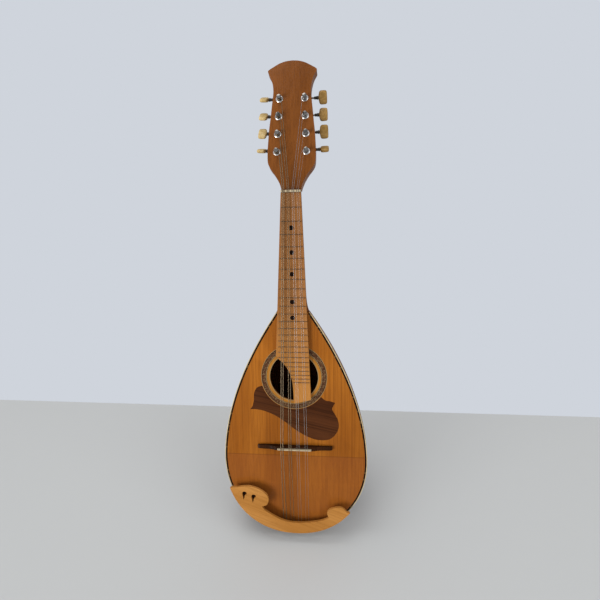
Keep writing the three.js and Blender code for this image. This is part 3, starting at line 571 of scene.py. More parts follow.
BONE = MouldedFinish("bone", "bone", "#b0a288", "#a39477", "#71603f", 0.36, 220, 0.3, 0.15)
BUTTON_PALE = MouldedFinish("button_pale", "button_cream", "#c1a977", "#ad935e", "#745c34", 0.3, 130, 0.35)
BUTTON_AMBER = MouldedFinish("button_amber", "button_cream", "#a5824b", "#8d6d3a", "#583e1f", 0.3, 130, 0.35)
CHROME = MetalFinish("post_chrome", "post_steel", "#88847e", "#141110", 0.12, 1.3)
BUSHING_METAL = MetalFinish("bushing_metal", "post_steel", "#dad6d0", "#2a2622", 0.1, 0.8)
PLATE_METAL = MetalFinish("plate_metal", "plate_steel", "#bdbbb6", "#76706a", 0.27, 0.45)
WORM_METAL = MetalFinish("worm_metal", "worm_steel", "#8f8b84", "#4d473f", 0.3, 0.5)
STEM_METAL = MetalFinish("stem_metal", "worm_steel", "#4a443d", "#201c18", 0.36, 0.6)
GEAR_METAL = MetalFinish("gear_metal", "post_steel", "#b59a63", "#6d5832", 0.3, 0.5)
TAIL_METAL = MetalFinish("tailpiece_metal", "tailpiece_steel", "#bfbdb9", "#77716a", 0.25, 0.4)
FRET_METAL = MetalFinish("fret_metal", "fingerboard_wood", "#7b6148", "#463322", 0.4, 0.5)
PLAIN_WIRE = MetalFinish("plain_wire", "plain_string", "#8d8b88", "#55514b", 0.36, 0.35)
WOUND_WIRE = MetalFinish("wound_wire", "wound_string", "#84735c", "#4d3e2c", 0.38, 0.4, ribbed=0.42)
ROSETTE = MosaicFinish("rosette_band", "rosette_mosaic", "#442a1a", "#573a25", "#6b563c", 0.9, 1.1, 0.6)
PURFLING = MosaicFinish("purfling", "rosette_mosaic", "#120904", "#1e1109", "#5c4629", 2.1, 2.0, 0.22)

Finish = WoodFinish | MetalFinish | MouldedFinish | MosaicFinish
made_materials: dict[str, Material] = {}


def material_of(finish: Finish) -> Material:
    """Gives a finish's material, built once.

    Args:
        finish: The finish.

    Returns:
        Its material.
    """
    if finish.name not in made_materials:
        made_materials[finish.name] = finish.make()
    return made_materials[finish.name]


# Modelling by hand

WELD = 0.002
FINE_WELD = 0.0005
WIRE_WELD = 0.0001
SKIN_ANGLE = 50
BAND_ANGLE = 20
WIRE_ANGLE = 60
THREAD_ANGLE = 30
ROUND_SIDES = 24
ALONG_X = Matrix.Rotation(-QUARTER, 4, "Z")


def select_only(obj: Piece) -> None:
    """Leaves one object selected and active, in object mode.

    Args:
        obj: The object to select.
    """
    if bpy.context.object is not None and bpy.context.object.mode != "OBJECT":
        bpy.ops.object.mode_set(mode="OBJECT")
    clear_selection()
    obj.select_set(True)
    bpy.context.view_layer.objects.active = obj


def clear_selection() -> None:
    """Deselects every object before a primitive is added."""
    bpy.ops.object.select_all(action="DESELECT")


def started(name: str) -> Piece:
    """Names the primitive that was just added.

    Args:
        name: The piece's name.

    Returns:
        The primitive, now named.
    """
    obj = bpy.context.object
    obj.name = name
    obj.data.name = name
    return obj


@contextmanager
def editing(obj: Piece, select: bool = True) -> Iterator[None]:
    """Opens an object in edit mode, with all of it selected or none.

    Args:
        obj: The object to edit.
        select: Whether all of it is selected.

    Returns:
        The context, which gives nothing.
    """
    select_only(obj)
    bpy.ops.object.mode_set(mode="EDIT")
    bpy.ops.mesh.select_all(action="SELECT" if select else "DESELECT")
    yield
    bpy.ops.object.mode_set(mode="OBJECT")


def apply_modifier(obj: Piece, kind: str, **settings: object) -> None:
    """Adds a modifier with its settings and applies it.

    Args:
        obj: The modelled piece.
        kind: The modifier's type.
        settings: The modifier's own settings.
    """
    modifier = obj.modifiers.new(kind.title(), kind)
    for key, value in settings.items():
        setattr(modifier, key, value)
    select_only(obj)
    bpy.ops.object.modifier_apply(modifier=modifier.name)


def round_edges(obj: Piece, width: float, segments: int = 2, angle: float = 34) -> None:
    """Rounds an object's sharp edges by a width."""
    apply_modifier(
        obj, "BEVEL", width=width, segments=segments, limit_method="ANGLE", angle_limit=math.radians(angle))


def smooth_shading(obj: Piece, angle: float = 32) -> None:
    """Shades an object smoothly, apart from its sharp edges."""
    select_only(obj)
    bpy.ops.object.shade_smooth_by_angle(angle=math.radians(angle))


def face_outwards(obj: Piece, near: float = WELD) -> None:
    """Merges doubled points and turns all faces outwards.

    Args:
        obj: The modelled piece.
        near: Points closer than this are merged.
    """
    with editing(obj):
        bpy.ops.mesh.remove_doubles(threshold=near)
        bpy.ops.mesh.normals_make_consistent(inside=False)


def shaped_grid(
    name: str, columns: int, rows: int, place: Callable[[float, float], Vector],
    closed: bool = False, capped: bool = False, grain: Callable[[float, float], Point] | None = None
) -> Piece:
    """Models a skin from a plain grid, each point of which is moved to its place.

    Args:
        name: The piece's name.
        columns: Faces across, along u.
        rows: Faces along, along v.
        place: Gives the place for u and v, both from 0 to 1.
        closed: Whether the sides u = 0 and u = 1 meet and are merged.
        capped: Whether the open ends are filled.
        grain: Gives the surface map's two numbers for u and v.

    Returns:
        The new object.
    """
    clear_selection()
    bpy.ops.mesh.primitive_grid_add(x_subdivisions=columns, y_subdivisions=rows, size=2)
    obj = started(name)
    spots = [((vertex.co.x + 1) / 2, (vertex.co.y + 1) / 2) for vertex in obj.data.vertices]
    if grain:
        flat = obj.data.uv_layers.active
        flat.name = SURFACE_MAP
        for loop in obj.data.loops:
            flat.data[loop.index].uv = grain(*spots[loop.vertex_index])
    for vertex, (u, v) in zip(obj.data.vertices, spots):
        vertex.co = place(u, v)
    with editing(obj):
        if closed:
            bpy.ops.mesh.remove_doubles(threshold=WELD)
        if capped:
            bpy.ops.mesh.fill_holes(sides=0)
        bpy.ops.mesh.normals_make_consistent(inside=False)
    return obj


def turned(name: str, profile: Line, sides: int = 32) -> Piece:
    """Turns a profile round the y axis by extruding and resizing a circle step by step.

    Args:
        name: The piece's name.
        profile: Pairs of radius and place along the axis.
        sides: Points round the piece.

    Returns:
        The new object, along the y axis.
    """
    clear_selection()
    first_radius, first_place = profile[0]
    bpy.ops.mesh.primitive_circle_add(
        vertices=sides, radius=first_radius, fill_type="NGON", location=(0, 0, first_place))
    obj = started(name)
    bpy.ops.object.transform_apply(location=True, rotation=False, scale=False)
    with editing(obj):
        for (radius, place), (next_radius, next_place) in zip(profile, profile[1:]):
            bpy.ops.mesh.extrude_region_move(
                TRANSFORM_OT_translate={"value": (0, 0, next_place - place)})
            ratio = next_radius / radius
            bpy.ops.transform.resize(value=(ratio, ratio, 1), center_override=(0, 0, next_place))
    face_outwards(obj, FINE_WELD)
    obj.data.transform(Matrix.Rotation(-QUARTER, 4, "X"))
    smooth_shading(obj)
    return obj


class Facing(Enum):
    """Which way a slab's outline faces: its two outline directions, and the direction of its thickness."""

    FRONT = ((1, 0, 0), (0, 0, 1), (0, 1, 0))
    SIDE = ((0, 1, 0), (0, 0, 1), (1, 0, 0))
    END = ((1, 0, 0), (0, 1, 0), (0, 0, 1))


def slab(
    name: str, outline: Line, near: float, far: float, facing: Facing = Facing.FRONT,
    holes: Sequence[Line] = (), edge: float = 0.0, segments: int = 2
) -> Piece:
    """Models a flat slab from circles whose points are moved onto its outline and holes.

    Args:
        name: The piece's name.
        outline: Points in the outline's two directions.
        near: Where one face lies along the thickness.
        far: Where the other face lies.
        facing: Which way the outline faces.
        holes: Outlines of holes.
        edge: Width of the rounding of its edges.
        segments: Steps in that rounding.

    Returns:
        The new object.
    """
    clear_selection()
    bpy.ops.mesh.primitive_circle_add(vertices=len(outline), radius=1)
    obj = started(name)
    with editing(obj, False):
        for hole in holes:
            bpy.ops.mesh.primitive_circle_add(vertices=len(hole), radius=1)
    first, second, through = (Vector(axis) for axis in facing.value)
    rims = [point for rim in (outline, *holes) for point in rim]
    for vertex, (a, b) in zip(obj.data.vertices, rims):
        vertex.co = first * a + second * b + through * far
    with editing(obj):
        if holes:
            bpy.ops.mesh.fill(use_beauty=True)
        else:
            bpy.ops.mesh.edge_face_add()
        bpy.ops.mesh.extrude_region_move(TRANSFORM_OT_translate={"value": through * (near - far)})
    face_outwards(obj)
    if edge:
        round_edges(obj, edge, segments)
    smooth_shading(obj)
    apply_modifier(obj, "WEIGHTED_NORMAL", keep_sharp=True)
    return obj


def wire(name: str, route: Route, radius: float) -> Piece:
    """Makes a round wire along a route.

    Args:
        name: The piece's name.
        route: The points that it follows.
        radius: Half its thickness.

    Returns:
        The new object, as a mesh.
    """
    curve = bpy.data.curves.new(name, "CURVE")
    curve.dimensions = "3D"
    curve.bevel_depth = radius
    curve.bevel_resolution = 2
    curve.use_fill_caps = True
    spline = curve.splines.new("POLY")
    spline.points.add(len(route) - 1)
    for point, spot in zip(spline.points, route):
        point.co = (*spot, 1)
    obj = bpy.data.objects.new(name, curve)
    bpy.context.scene.collection.objects.link(obj)
    select_only(obj)
    bpy.ops.object.convert(target="MESH")
    obj = started(name)
    face_outwards(obj, WIRE_WELD)
    smooth_shading(obj, WIRE_ANGLE)
    return obj


def copied(source: Piece, name: str) -> Piece:
    """Copies a modelled piece, with a mesh of its own.

    Args:
        source: The piece to copy.
        name: The copy's name.

    Returns:
        The copy.
    """
    twin = source.copy()
    twin.data = source.data.copy()
    twin.name = name
    twin.data.name = name
    bpy.context.scene.collection.objects.link(twin)
    return twin


def joined(name: str, parts: Sequence[Piece]) -> Piece:
    """Joins modelled parts into one object.

    Args:
        name: The piece's name.
        parts: The parts, the first of which takes in the others.

    Returns:
        The joined object.
    """
    select_only(parts[0])
    for part in parts[1:]:
        part.select_set(True)
    bpy.ops.object.join()
    return started(name)


def repeated(pattern: Piece, places: Sequence[Sequence[float]]) -> list[Piece]:
    """Copies a piece to each of several places, and removes the pattern.

    Args:
        pattern: The piece to copy.
        places: How far each copy is moved.

    Returns:
        The copies.
    """
    copies = []
    for place in places:
        twin = copied(pattern, f"{pattern.name}_copy")
        twin.data.transform(Matrix.Translation(place))
        copies.append(twin)
    bpy.data.objects.remove(pattern)
    return copies


def install(
    obj: Piece, finish: Finish, *nodes: str, where: Matrix = LAYOUT, body: str = ROOT
) -> None:
    """Moves a finished mesh into the frame, gives it its finish and body, and hides the frame's nodes that it
    stands for.

    Args:
        obj: The modelled piece, at the origin.
        finish: Its finish.
        nodes: The frame's nodes that it stands for.
        where: The matrix from its own place to the frame.
        body: The body that it moves with.
    """
    obj.data.transform(where)
    obj.data.materials.clear()
    obj.data.materials.append(material_of(finish))
    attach(obj, body)
    if nodes:
        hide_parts(*nodes)
    log.info("%s: %d faces, %s, rides on %s", obj.name, len(obj.data.polygons), finish.name, body)


# Outlines


def curve_through(points: Line, corners: Sequence[int] = (), steps: int = 6) -> list[Point]:
    """Draws a smooth open curve through points, with corners kept sharp.

    Args:
        points: The points that it passes.
        corners: Which of them are corners.
        steps: Steps between two points.

    Returns:
        The curve's points.
    """
    drawn: list[Point] = []
    last = len(points) - 1
    for index in range(last):
        start, end = Vector(points[index]), Vector(points[index + 1])
        before = start * 2 - end if index == 0 or index in corners else Vector(points[index - 1])
        after = end * 2 - start if index + 1 in (last, *corners) else Vector(points[index + 2])
        for step in range(steps):
            t = step / steps
            leave = (end - before) / 2
            arrive = (after - start) / 2
            spot = (
                start * (2 * t ** 3 - 3 * t ** 2 + 1) + leave * (t ** 3 - 2 * t ** 2 + t)
                + end * (3 * t ** 2 - 2 * t ** 3) + arrive * (t ** 3 - t ** 2))
            drawn.append((spot.x, spot.y))
    drawn.append(tuple(points[-1]))
    return drawn


def scaled(shares: Line, across: float, along: float, foot: float = 0.0) -> list[Point]:
    """Turns pairs of shares into points, from a foot along the second direction."""
    return [(across * share, foot + along * next_share) for share, next_share in shares]


def mirrored(side: Line) -> list[Point]:
    """Gives the other side of an outline, in the order that closes it."""
    return [(-x, z) for x, z in reversed(side)]


def inset(outline: Line, distance: float) -> list[Point]:
    """Moves a closed outline's points inwards by a distance.

    Args:
        outline: The closed outline.
        distance: The distance, negative for outwards.

    Returns:
        The moved points.
    """
    count = len(outline)
    area = sum(
        outline[i - 1][0] * outline[i][1] - outline[i][0] * outline[i - 1][1] for i in range(count))
    sense = math.copysign(1, area)
    moved = []
    for index, (x, z) in enumerate(outline):
        before, after = Vector(outline[index - 1]), Vector(outline[(index + 1) % count])
        here = Vector((x, z))
        along = ((here - before).normalized() + (after - here).normalized()).normalized()
        moved.append((x - sense * along.y * distance, z + sense * along.x * distance))
    return moved


def sweep(start: float, end: float, steps: int) -> list[float]:
    """Gives even steps from a start to an end, with both of them."""
    return [start + (end - start) * step / steps for step in range(steps + 1)]


def arc(x: float, z: float, reach: Point, start: float, end: float, steps: int) -> list[Point]:
    """Gives the points of an arc round a centre, its reach across and along."""
    across, along = reach
    return [(x + across * math.cos(angle), z + along * math.sin(angle)) for angle in sweep(start, end, steps)]


def ring(x: float, z: float, radius: float, sides: int = ROUND_SIDES) -> list[Point]:
    """Gives the points of a circle."""
    return arc(x, z, (radius, radius), 0, FULL_TURN, sides)[:-1]


def bulged(value: float, power: float) -> float:
    """Raises a number's size to a power and keeps its sign."""
    return math.copysign(abs(value) ** power, value)


# The shape of the body


@dataclass(frozen=True)
class Body:
    """The outline of the soundboard and the surface of the bowl, which several sub-assemblies share."""

    widest: float = 110
    shoulder: float = 22
    tail_round: float = 2.15
    shoulder_round: float = 1.85
    depth: float = 130
    heel_depth: float = 28
    back_round: float = 1.8
    section_round: float = 2.15
    rim_depth: float = 3.3
    side_steps: int = 84
    slope: float = 0.001
    tail_crowding: float = 1.5

    def travel(self, station: float) -> float:
        """Gives how far a tail station lies towards the widest place, as a share."""
        return 1 - math.cos(station * QUARTER)

    def fullness(self, station: float, end: float, rounding: float) -> float:
        """Gives the share of a half width at a station: 0 at the tail, 1 at the widest, 2 at the neck.

        Args:
            station: The station.
            end: The share at the neck.
            rounding: The exponent of the stretch from the widest place to the neck.

        Returns:
            The share.
        """
        if station <= 1:
            return (1 - (1 - self.travel(station)) ** self.tail_round) ** (1 / self.tail_round)
        return 1 - (1 - end) * (station - 1) ** rounding

    def place(self, station: float) -> float:
        """Gives a station's height up the body.

        Args:
            station: The station.

        Returns:
            The height above the tail.
        """
        if station <= 1:
            return self.widest * self.travel(station)
        return self.widest + (BODY_LENGTH - self.widest) * (station - 1)

    def half_width(self, station: float) -> float:
        """Gives the half width at a station."""
        return BODY_HALF_WIDTH * self.fullness(station, self.shoulder / BODY_HALF_WIDTH, self.shoulder_round)

    def cant_back(self, place: float) -> float:
        """Gives how far back the bent part of the soundboard lies."""
        return max(0.0, CANT_PLACE - place) * math.tan(CANT_ANGLE)

    def bowl_point(self, station: float, angle: float) -> Vector:
        """Gives a point on the bowl, from the treble rim at angle 0 to the bass rim at half a turn.

        Args:
            station: The station.
            angle: The angle round the bowl.

        Returns:
            The point.
        """
        depth = self.depth * self.fullness(station, self.heel_depth / self.depth, self.back_round)
        power = 2 / self.section_round
        across, down = math.cos(angle), max(0.0, math.sin(angle))
        place = self.place(station)
        return Vector((
            self.half_width(station) * bulged(across, power),
            self.rim_depth + self.cant_back(place) + (depth - self.rim_depth) * down ** power,
            place))

    def bowl_offset(self, station: float, angle: float, offset: float) -> Vector:
        """Gives a bowl point moved square to the surface, outwards where the offset is positive.

        Args:
            station: The station.
            angle: The angle round the bowl.
            offset: The distance from the surface.

        Returns:
            The moved point.
        """
        point = self.bowl_point(station, angle)
        safe_angle = min(max(angle, 2 * self.slope), math.pi - 2 * self.slope)
        safe_station = min(station, 2 - self.slope)
        base = self.bowl_point(safe_station, safe_angle)
        along = self.bowl_point(safe_station + self.slope, safe_angle) - base
        around = self.bowl_point(safe_station, safe_angle + self.slope) - base
        normal = around.cross(along).normalized()
        on_rim = angle <= 0 or angle >= math.pi
        if on_rim:
            normal.y = 0
            normal.normalize()
        point += normal * offset
        if on_rim:
            point.y = self.rim_depth + self.cant_back(point.z)
        return point

    def rim(self, inward: float = 0.0) -> list[Point]:
        """Gives the outline from the treble shoulder round the tail to the bass shoulder.

        Args:
            inward: How far the outline lies inside the body's edge.

        Returns:
            The outline's points.
        """
        stations = [2 * share ** self.tail_crowding for share in sweep(0, 1, self.side_steps)[1:]]
        treble = [(self.half_width(station), self.place(station)) for station in reversed(stations)]
        whole = [*treble, (0.0, 0.0), *mirrored(treble)]
        top = BODY_LENGTH - JOINT_GAP
        return [(x, min(z, top)) for x, z in inset(whole, inward)]


BODY = Body()


def skinned(
    name: str, rings: Sequence[Route], capped: bool = True, shift: float = 0.0
) -> Piece:
    """Models a skin over a row of rings of points, with a surface map in metres.

    Args:
        name: The piece's name.
        rings: Rings of equal count, each closed on itself.
        capped: Whether the ends are filled; if not, the last ring is the first one again.
        shift: How far the surface map is moved, so that like pieces differ in grain.

    Returns:
        The new object.
    """
    columns, rows = len(rings[0]), len(rings) - 1
    along = running_lengths([ring[0] for ring in rings])
    around = [running_lengths([*ring, ring[0]]) for ring in rings]

    def place(u: float, v: float) -> Vector:
        """Gives the ring point for a grid point."""
        return rings[round(v * rows)][round(u * columns) % columns]

    def grain(u: float, v: float) -> Point:
        """Gives the lengths round and along the skin for a grid point."""
        row = round(v * rows)
        return around[row][round(u * columns)] * MM + shift, along[row] * MM

    return shaped_grid(name, columns, rows, place, True, capped, grain)


def running_lengths(route: Route) -> list[float]:
    """Gives the length walked at each point of a route.

    Args:
        route: The route's points.

    Returns:
        The length at each point, from 0.
    """
    lengths = [0.0]
    for before, after in zip(route, route[1:]):
        lengths.append(lengths[-1] + (after - before).length)
    return lengths


def band(
    name: str, inner: Line, outer: Line, front: float, back: float, closed: bool = False
) -> Piece:
    """Models a flat strip between two lines on the soundboard, following its bend.

    Args:
        name: The piece's name.
        inner: Points of x and z along the inner side.
        outer: As many along the outer side.
        front: The front face's y.
        back: The back face's y.
        closed: Whether the strip runs round into itself.

    Returns:
        The new object.
    """
    pairs = [*zip(inner, outer), (inner[0], outer[0])] if closed else list(zip(inner, outer))
    rings = []
    for near, far in pairs:
        near_back, far_back = BODY.cant_back(near[1]), BODY.cant_back(far[1])
        rings.append([
            Vector((near[0], front + near_back, near[1])), Vector((far[0], front + far_back, far[1])),
            Vector((far[0], back + far_back, far[1])), Vector((near[0], back + near_back, near[1]))])
    strip = skinned(name, rings, not closed)
    smooth_shading(strip, BAND_ANGLE)
    return strip


def hoop(name: str, section: Line, sides: int = 32) -> Piece:
    """Models a ring round the y axis from a closed section of radius and place.

    Args:
        name: The piece's name.
        section: Pairs of radius and place along the axis.
        sides: Steps round.

    Returns:
        The new object.
    """
    rings = [
        [Vector((radius * math.cos(angle), place, radius * math.sin(angle))) for radius, place in section]
        for angle in sweep(0, FULL_TURN, sides)]
    made = skinned(name, rings, False)
    smooth_shading(made)
    return made


# The bowl


@dataclass
class Bowl:
    """The bowl of narrow staves, with the band that covers their ends at the tail."""

    ribs: int = 9
    staves_per_rib: int = 3
    thickness: float = 2.2
    crown: float = 0.3
    seam: float = 0.1
    first_station: float = 0.11
    rows: int = 64
    columns: int = 6
    groove: float = 0.28
    grain_shift: float = 0.11
    clasp_stations: Point = (0.02, 0.514)
    clasp_offsets: Point = (0.3, 1.5)
    clasp_columns: int = 54
    clasp_rows: int = 26
    clasp_edge: float = 0.4

    def build(self) -> None:
        """Builds the staves and the clasp."""
        for number in range(self.ribs * self.staves_per_rib):
            install(self.make_stave(number), STAVE, f"rib_{number // self.staves_per_rib + 1}")
        install(self.make_clasp(), CLASP_WOOD, "end_clasp")

    def make_stave(self, number: int) -> Piece:
        """Models one stave, crowned across and parted from its neighbours by a fine seam.

        Args:
            number: Its number from the treble side, from 0.

        Returns:
            The new object.
        """
        count = self.ribs * self.staves_per_rib
        rings = []
        for station in sweep(self.first_station, 2, self.rows):
            reach = (BODY.half_width(station) + BODY.bowl_point(station, QUARTER).y) / 2
            gap = self.seam / 2 / reach
            start = math.pi * number / count + (gap if number else 0)
            end = math.pi * (number + 1) / count - (gap if number < count - 1 else 0)
            shares = sweep(0, 1, self.columns)
            outer = [
                BODY.bowl_offset(station, start + (end - start) * share, 4 * self.crown * share * (1 - share))
                for share in shares]
            inner = [
                BODY.bowl_offset(station, start + (end - start) * share, -self.thickness)
                for share in reversed(shares)]
            rings.append(outer + inner)
        stave = skinned(f"stave_{number + 1:02d}", rings, shift=self.grain_shift * number)
        round_edges(stave, self.groove, 2, SKIN_ANGLE)
        smooth_shading(stave)
        return stave

    def make_clasp(self) -> Piece:
        """Models the thin band of wood that wraps the tail over the staves' ends.

        Returns:
            The new object.
        """
        inside, outside = self.clasp_offsets
        angles = sweep(0, math.pi, self.clasp_columns)
        rings = [
            [*(BODY.bowl_offset(station, angle, outside) for angle in angles),
             *(BODY.bowl_offset(station, angle, inside) for angle in reversed(angles))]
            for station in sweep(*self.clasp_stations, self.clasp_rows)]
        clasp = skinned("clasp_band", rings)
        round_edges(clasp, self.clasp_edge, 2, SKIN_ANGLE)
        smooth_shading(clasp)
        return clasp


# The soundboard and what is let into it


@dataclass
class Soundboard:
    """The bent spruce top with its binding, purfling, rosette and guard."""

    thickness: float = 3.0
    edge: float = 0.3
    sharp_angle: float = 3
    binding_width: float = 1.1
    binding_edge: float = 0.35
    purfling_width: float = 2.1
    proud: float = 0.12
    inlay_depth: float = 0.9
    hole_sides: int = 96
    hole_ring_width: float = 0.8
    tan_ring_radius: float = 37.4
    rosette_rings: tuple[tuple[str, float, float, Finish], ...] = (
        ("rosette_outer_line", 44.65, 45.2, INLAY_PALE), ("rosette_outer_shade", 44.0, 44.65, INLAY_DARK),
        ("rosette_mosaic_band", 38.5, 44.0, ROSETTE), ("rosette_inner_line", 37.9, 38.5, INLAY_PALE),
        ("rosette_inner_shade", 37.4, 37.9, INLAY_DARK))
    guard_clearance: float = 0.6
    guard_edge: float = 0.08
    guard_arc_steps: int = 30
    guard_shares: tuple[Point, ...] = (
        (-0.446, -0.042), (-0.511, -0.049), (-0.55, -0.067), (-0.563, -0.087), (-0.566, -0.111),
        (-0.585, -0.133), (-0.618, -0.148), (-0.552, -0.147), (-0.444, -0.152), (-0.339, -0.163),
        (-0.232, -0.18), (-0.127, -0.202), (-0.021, -0.228), (0.084, -0.25), (0.19, -0.267),
        (0.295, -0.278), (0.401, -0.28), (0.486, -0.274), (0.549, -0.258), (0.596, -0.234),
        (0.609, -0.209), (0.591, -0.182), (0.551, -0.159), (0.52, -0.14), (0.535, -0.125),
        (0.56, -0.111), (0.489, -0.104), (0.427, -0.101), (0.375, -0.088))
    guard_corners: tuple[int, ...] = (6, 25)

    def build(self) -> None:
        """Builds the board and everything that lies in its face."""
        self.build_board()
        self.build_edge()
        self.build_rosette()
        self.build_guard()

    def build_board(self) -> None:
        """Models the spruce board with its hole, and folds it back below the bridge."""
        hole = ring(0, HOLE_PLACE, HOLE_RADIUS, self.hole_sides)
        board = slab("spruce_board", BODY.rim(self.binding_width), 0, self.thickness, holes=[hole])
        with editing(board):
            bpy.ops.mesh.bisect(plane_co=(0, 0, CANT_PLACE), plane_no=(0, 0, 1))
        for vertex in board.data.vertices:
            vertex.co.y += BODY.cant_back(vertex.co.z)
        round_edges(board, self.edge)
        smooth_shading(board, self.sharp_angle)
        install(board, SPRUCE, "soundboard")

    def build_edge(self) -> None:
        """Models the pale binding and the dark line of slips inside it."""
        inside = BODY.rim(self.binding_width - self.proud)
        edge = band("edge_binding", inside, BODY.rim(), -self.proud, self.thickness)
        round_edges(edge, self.binding_edge)
        smooth_shading(edge, BAND_ANGLE)
        install(edge, BINDING, "binding")
        inner = BODY.rim(self.binding_width + self.purfling_width)
        line = band("edge_purfling", inner, BODY.rim(self.binding_width), -self.proud, self.inlay_depth)
        install(line, PURFLING)

    def build_rosette(self) -> None:
        """Models the rings round the hole: lines of pale and dark wood on each side of a mosaic band."""
        for name, inside, outside, finish in self.rosette_rings:
            install(self.make_ring(name, inside, outside), finish, "rosette")
        lip = HOLE_RADIUS + self.hole_ring_width
        install(self.make_ring("hole_edge_ring", HOLE_RADIUS, lip), INLAY_PALE)
        install(self.make_ring("hole_tan_ring", lip, self.tan_ring_radius), INLAY_TAN)

    def make_ring(self, name: str, inside: float, outside: float) -> Piece:
        """Models one flat ring round the hole."""
        sides = (ring(0, HOLE_PLACE, radius, self.hole_sides) for radius in (inside, outside))
        return band(name, *sides, -self.proud, self.inlay_depth, True)

    def build_guard(self) -> None:
        """Models the guard, its upper side following the rosette."""
        points = scaled(self.guard_shares, BODY_HALF_WIDTH, BODY_LENGTH, HOLE_PLACE)
        side = curve_through(points, self.guard_corners, 5)
        reach = layout_box("rosette")[1].x + self.guard_clearance
        first, last = (math.atan2(z - HOLE_PLACE, x) for x, z in (side[0], side[-1]))
        upper = arc(0, HOLE_PLACE, (reach, reach), last, first, self.guard_arc_steps)
        guard = slab("guard_plate", [*side, *upper], -self.proud, self.inlay_depth, edge=self.guard_edge)
        install(guard, GUARD_WOOD, "pickguard")


# The neck, fingerboard and nut


@dataclass
class Fingerboard:
    """The board with its frets, dots and nut."""

    length: float = 281
    thickness: float = 6
    edge: float = 0.35
    nut_half_width: float = 13
    end_half_width: float = 23.6
    scale: float = 335
    frets: int = 24
    frets_per_octave: int = 12
    fret_half_width: float = 0.55
    fret_height: float = 0.9
    fret_margin: float = 0.5
    fret_foot: float = 0.3
    fret_edge: float = 0.18
    fret_steps: int = 10
    dot_spaces: tuple[int, ...] = (3, 5, 7, 10, 12)
    dot_radius: float = 3.1
    dot_depth: float = 0.6
    dot_proud: float = 0.06
    dot_edge: float = 0.1
    nut_front: float = -8.3
    notch_depth: float = 1.3
    notch_side: float = 0.35
    notch_round: float = 0.1
    nut_width: float = 2.7
    nut_corner: float = 0.8
    nut_edge: float = 0.12
    treble_end_share: float = 0.98
    cut_shares: tuple[Point, ...] = (
        (-0.98, 0.762), (-0.85, 0.778), (-0.64, 0.794), (-0.46, 0.812), (-0.28, 0.836), (-0.15, 0.862),
        (-0.06, 0.897), (-0.02, 0.94), (0, 1))

    @property
    def front(self) -> float:
        """Gives the y of the playing face."""
        return -self.thickness - JOINT_GAP

    def half_width(self, distance: float) -> float:
        """Gives the half width at a distance below the nut."""
        return self.nut_half_width + (self.end_half_width - self.nut_half_width) * distance / self.length

    def bass_edge(self, distance: float) -> float:
        """Gives the bass side's x at a distance below the nut, along the slanting end where it is cut.

        Args:
            distance: The distance below the nut.

        Returns:
            The place across.
        """
        for (across, along), (next_across, next_along) in zip(self.cut_shares, self.cut_shares[1:]):
            if self.length * along <= distance <= self.length * next_along:
                share = (distance / self.length - along) / (next_along - along)
                return self.end_half_width * (across + (next_across - across) * share)
        return -self.half_width(distance)

    def fret_distance(self, number: int) -> float:
        """Gives a fret's distance below the nut."""
        return self.scale * (1 - 2 ** (-number / self.frets_per_octave))

    def build(self) -> None:
        """Builds the board, the frets, the dots and the nut."""
        cut = curve_through(scaled(self.cut_shares, self.end_half_width, -self.length, NUT_PLACE), steps=5)
        top = NUT_PLACE - JOINT_GAP
        end = self.length * self.treble_end_share
        outline = [
            (self.nut_half_width, top), (-self.nut_half_width, top), *cut,
            (self.half_width(end), NUT_PLACE - end)]
        board = slab("fret_board", outline, self.front, -JOINT_GAP, edge=self.edge)
        install(board, BOARD_WOOD, "fingerboard")
        for number in range(1, self.frets + 1):
            self.build_fret(number)
        for space in self.dot_spaces:
            self.build_dot(space)
        self.build_nut()

    def build_fret(self, number: int) -> None:
        """Models one fret as a half-round bar across the board.

        Args:
            number: The fret's number from the nut.
        """
        distance = self.fret_distance(number)
        reach = (-self.fret_height - self.fret_foot, self.fret_half_width)
        section = arc(
            self.front + self.fret_foot, NUT_PLACE - distance, reach, QUARTER, -QUARTER, self.fret_steps)
        left = self.bass_edge(distance) + self.fret_margin
        right = self.half_width(distance) - self.fret_margin
        bar = slab(f"fret_{number:02d}", section, left, right, Facing.SIDE, edge=self.fret_edge)
        install(bar, FRET_METAL)

    def build_dot(self, space: int) -> None:
        """Models the dark dot in the middle of a fret's space.

        Args:
            space: The number of the fret below the dot.
        """
        place = NUT_PLACE - (self.fret_distance(space - 1) + self.fret_distance(space)) / 2
        radius, face = self.dot_radius, self.front
        dot = turned(f"position_dot_{space:02d}", [
            (radius, face + self.dot_depth), (radius, face - self.dot_proud / 2),
            (radius - self.dot_edge, face - self.dot_proud)])
        install(dot, INLAY_DARK, where=LAYOUT @ Matrix.Translation((0, 0, place)))

    def build_nut(self) -> None:
        """Models the bone nut with a notch for each string."""
        notches = []
        for gauge, across in zip(STRING_RADII, string_places(NUT_SPACING, NUT_PAIR)):
            foot = self.nut_front + self.notch_depth
            reach = gauge + self.notch_side
            notches += [
                (across - reach, self.nut_front), (across - gauge, foot - self.notch_round), (across, foot),
                (across + gauge, foot - self.notch_round), (across + reach, self.nut_front)]
        half, corner = self.nut_half_width, self.nut_corner
        end = [(-half, -JOINT_GAP), (-half, self.nut_front + corner), (-half + corner, self.nut_front)]
        outline = [*end, *notches, *mirrored(end)]
        nut = slab("bone_nut", outline, NUT_PLACE, NUT_PLACE + self.nut_width, Facing.END, edge=self.nut_edge)
        install(nut, BONE, "nut")


FINGERBOARD = Fingerboard()


